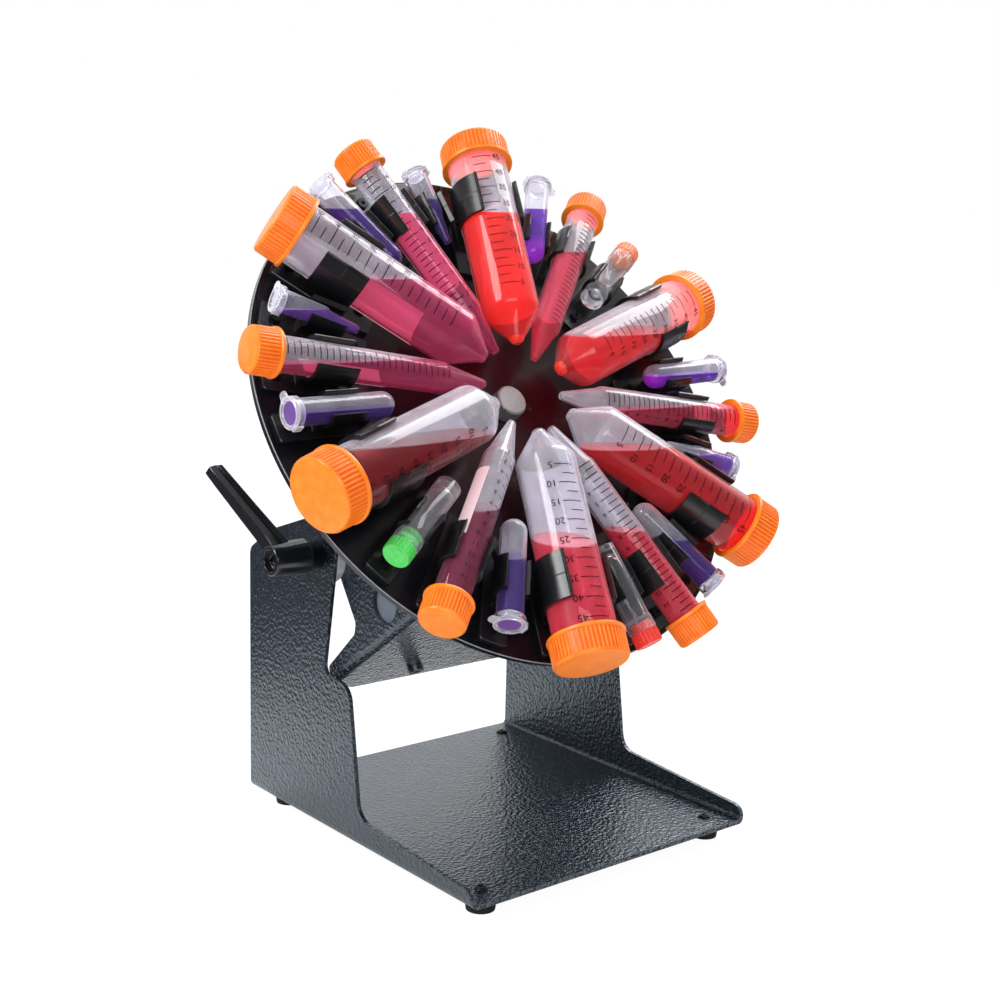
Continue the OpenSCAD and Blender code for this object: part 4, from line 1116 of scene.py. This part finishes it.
for kind, node, radius, length, tab in (
    ("snap", "snap_lids", SNAP_R, SNAP_L, 4.0), ("micro", "micro_lids", 5.4, 40.0, 3.5),
):
    plug = radius - THIN - 0.15
    lid = bmesh.new()
    lathe(lid, [
        (0, 0.6), (radius - 0.9, 0.6), (radius - 0.7, 0.9), (radius - 0.4, 1.55),
        (radius + 0.8, 1.6),
        (radius + 1.1, 1.3), (radius + 1.1, 0.2), (radius + 0.9, 0.02), (plug, 0.02), (plug, -2.9),
        (plug - 0.9, -3.0), (plug - 1.0, -0.4), (0, -0.4),
    ], 48)
    outline = [
        (radius, -2.6), (radius + tab - 1.2, -2.2), (radius + tab - 0.3, -1.6), (radius + tab, 0),
        (radius + tab - 0.3, 1.6), (radius + tab - 1.2, 2.2), (radius, 2.6),
    ]
    loft(lid, [[Vector((x, y, z)) * MM for x, y in outline] for z in (0.3, 1.3)])
    strap_out, strap_in = -radius - 2.0, -radius - 1.3
    loft(lid, [[Vector((x, y, z)) * MM for x, z in (
        (strap_in, -2.2), (strap_out, -2.2), (strap_out, 1.2), (strap_out + 0.4, 1.6),
        (-radius, 1.6),
        (-radius, 1.0), (strap_in, 1.0),
    )] for y in (-2.0, 2.0)])
    lid_mesh, lids = mesh_of(lid), bmesh.new()
    for slot in SLOTS:
        if slot[1] == kind:
            place(lids, lid_mesh, in_slot(slot) @ Matrix.Translation((0, 0, length * MM)))
    settle(finish_mesh(node + "_milky", lids, lid_plastic), "rotor", "small_lid", node)

micro_shape = tube_profile(*CONES["micro"])
per_slot("micro", micro_shape[:9] + [
    (5.35, 37.6), (6.3, 38.0), (6.5, 38.4), (6.5, 39.8), (6.3, 40.0), (4.7, 40.0), (4.5, 39.6),
] + micro_shape[13:], 48, "micro_tube_bodies", "small_tube", "micro_tubes", small_plastic,
    wet_small)

# two violet tubes get a painted bright violet glow round their rounded ends
violets = {
    bearing: liquid(
        f"violet dye {bearing}", shade(104, 44, 170), (0.5, 0.3, 0.86), 0.5, 0.04,
        (in_slot(slot) @ Vector((0, 0, 3 * MM)), 12 * MM, shade(196, 50, 240)),
    ) for slot in SLOTS for bearing in slot[:1] if bearing in (18, 76)
}
indigo = liquid("indigo dye", shade(74, 42, 132), (0.4, 0.26, 0.7), 0.5, 0.04)
lilac = liquid("lilac dye", shade(132, 84, 186), (0.6, 0.46, 0.84), 0.45, 0.06)
fill(
    "snap", "snap_samples",
    dome(SNAP_R - THIN + SUNK, SNAP_R, 10) + [(SNAP_R - THIN + SUNK, SNAP_L - 4), (0, SNAP_L - 4)],
    {**violets, 136: indigo, 196: indigo, 257.5: indigo, 318: indigo}, "purple_sample"
)
film = bmesh.new()
for slot in SLOTS:
    if slot[0] in (196, 257.5):
        lathe(film, [
            (0, SNAP_L + 0.63), (5.0, SNAP_L + 0.63), (5.0, SNAP_L + 0.8), (0, SNAP_L + 0.8),
        ], 32, in_slot(slot))
wetted = liquid("dye film", shade(132, 98, 172), (0.7, 0.5, 0.9), 0.6, 0.02)
settle(finish_mesh("dye_under_lids", film, wetted), "rotor", "purple_sample")
fill(
    "micro", "micro_samples", cone_liquid("micro", 38.0), {102: lilac, 284: lilac, 344: indigo},
    "violet_sample"
)

CRYO_L = 43.0
cryo_form = bmesh.new()
for slot in SLOTS:
    if slot[1] == "cryo":
        at = in_slot(slot)
        lathe(cryo_form, [
            (0, 3.0), (3.6, 3.0), (5.1, 2.2), (5.2, 0.2), (5.5, 0.0), (5.9, 0.0), (6.1, 0.3),
            (6.1, 36.4), (6.1, 42.8), (5.9, 43.0), (5.3, 43.0), (5.2, 42.8),
        ] + [(5.2, 10.0)] + dome(5.2, 9.6, 8)[::-1], 48, at)
        loft(cryo_form, [
            [at @ point for point in toothed(6.55, 0.4, 24, z)] for z in (36.6, 42.4)
        ])
settle(finish_mesh("vial_bodies", cryo_form, cryo_plastic), "rotor", "cryo_vial", "cryo_vials")

cap_paints = []
for name, first, second in (
    ("orange vial cap", shade(240, 120, 70), shade(250, 138, 84)),
    ("red vial cap", shade(232, 44, 36), shade(246, 66, 52)),
    ("green vial cap", shade(70, 214, 84), shade(98, 228, 112)),
):
    paint = Finish(name, first, 0.34)
    paint.set(Base_Color=paint.blend(paint.noise(3 * MM, 3.0).step(0.3, 0.7), first, second))
    cap_paints.append(paint.relief(paint.noise(0.4 * MM, 3.0), 0.03 * MM, 0.3))
vial_caps = bmesh.new()
for number, slot in enumerate(slots_of("cryo")):
    one = bmesh.new()
    at = in_slot(slot) @ Matrix.Translation((0, 0, CRYO_L * MM))
    lathe(one, [
        (0, 6.2), (4.6, 6.2), (5.0, 6.45), (5.9, 6.5), (6.3, 6.1), (6.3, 0.1), (5.05, 0.1),
        (5.05, -3.6), (4.6, -4.0), (0, -4.0),
    ], 48, at)
    loft(one, [[at @ point for point in toothed(6.5, 0.3, 26, z)] for z in (0.15, 5.6)])
    for face in one.faces:
        face.material_index = number
    place(vial_caps, mesh_of(one))
vial_cap = finish_mesh("vial_caps", vial_caps, *cap_paints, sharp=30)
settle(vial_cap, "rotor", "cryo_cap", "cryo_caps")


# Studio: a white table and backdrop with two tall softboxes, one on each side,
# and the camera in front on the left. The room beyond the table is dim, and in
# reflections the table is painted dark from about a third of a metre out.
floor_form = bmesh.new()
bmesh.ops.create_grid(floor_form, x_segments=1, y_segments=1, size=6.0)
floor_paint = Finish("white table", (0.86, 0.86, 0.87), 0.6)
away = floor_paint.node(
    "ShaderNodeVectorMath", {"operation": "LENGTH"}, floor_paint.where
).out("Value")
# painted reflection: seen in reflections, the table turns dark beyond about 0.3 m
mirrored = floor_paint.node("ShaderNodeLightPath", {}).out("Is Glossy Ray")
floor_paint.set(Base_Color=floor_paint.blend(
    away.step(0.27, 0.36) * mirrored, (0.84, 0.84, 0.85), (0.05, 0.05, 0.06)
))
glow = floor_paint.node("ShaderNodeEmission", {}, (1, 1, 1, 1), 1.14)
seen = floor_paint.node("ShaderNodeLightPath", {}).out("Is Camera Ray")
floor_paint.show(seen * 0.84, floor_paint.plain, glow)
floor = finish_mesh("floor", floor_form, floor_paint)
floor.location.z = -0.0002

world = bpy.data.worlds.new("studio")
bpy.context.scene.world = world
world.use_nodes = True
sky = Board(world.node_tree)
rays = sky.node("ShaderNodeLightPath", {})
axes = sky.node("ShaderNodeSeparateXYZ", {}, sky.node("ShaderNodeTexCoord", {}).out("Generated"))
behind = (axes.out("X") * 0.63 + axes.out("Y") * 0.76).step(0.15, 0.75)
above = axes.out("Z").step(0.35, 0.9)
strength = behind * 0.75 + above * 0.45 + 0.16
clear = rays.out("Is Camera Ray")
background = world.node_tree.nodes["Background"]
background.inputs["Color"].default_value = (1, 1, 1, 1)
sky.feed(background.inputs["Strength"], strength * (1 - clear) + clear)


def lamp(name, place, aim, wide, tall, watts):
    light = bpy.data.lights.new(name, "AREA")
    light.shape = "RECTANGLE"
    light.size, light.size_y = wide, tall
    light.energy = watts
    thing = bpy.data.objects.new(name, light)
    bpy.context.scene.collection.objects.link(thing)
    thing.location = place
    thing.rotation_euler = (Vector(aim) - Vector(place)).to_track_quat("-Z", "Y").to_euler()
    return thing


lamp("left softbox", (-1.15, 0.15, 1.05), (0, 0, 0.2), 0.5, 0.9, 14)
lamp("right softbox", (0.95, 0.2, 1.25), (0, 0, 0.2), 0.8, 0.9, 15)
lamp("front fill", (-0.75, -1.35, 0.75), (0, 0, 0.2), 1.1, 0.7, 9)

CAMERA = Vector((-476.351, -564.959, 297.977)) * MM
YAW, PITCH, ROLL = (math.radians(a) for a in (39.627, 10.353, 1.464))
FOCAL = 1573.311 / 1000 * 36
forward = Vector(
    (math.sin(YAW) * math.cos(PITCH), math.cos(YAW) * math.cos(PITCH), -math.sin(PITCH))
)
right = Vector((math.cos(YAW), -math.sin(YAW), 0))
up = right.cross(forward)
across = right * math.cos(ROLL) + up * math.sin(ROLL)
upward = up * math.cos(ROLL) - right * math.sin(ROLL)
eye = bpy.data.cameras.new("camera")
eye.lens = FOCAL
eye.sensor_width = 36
eye.clip_start, eye.clip_end = 0.01, 20
camera = bpy.data.objects.new("camera", eye)
bpy.context.scene.collection.objects.link(camera)
camera.matrix_world = Matrix.Translation(CAMERA) @ Matrix(
    (across, upward, -forward)
).transposed().to_4x4()
bpy.context.scene.camera = camera
bpy.context.scene.view_settings.view_transform = "Standard"
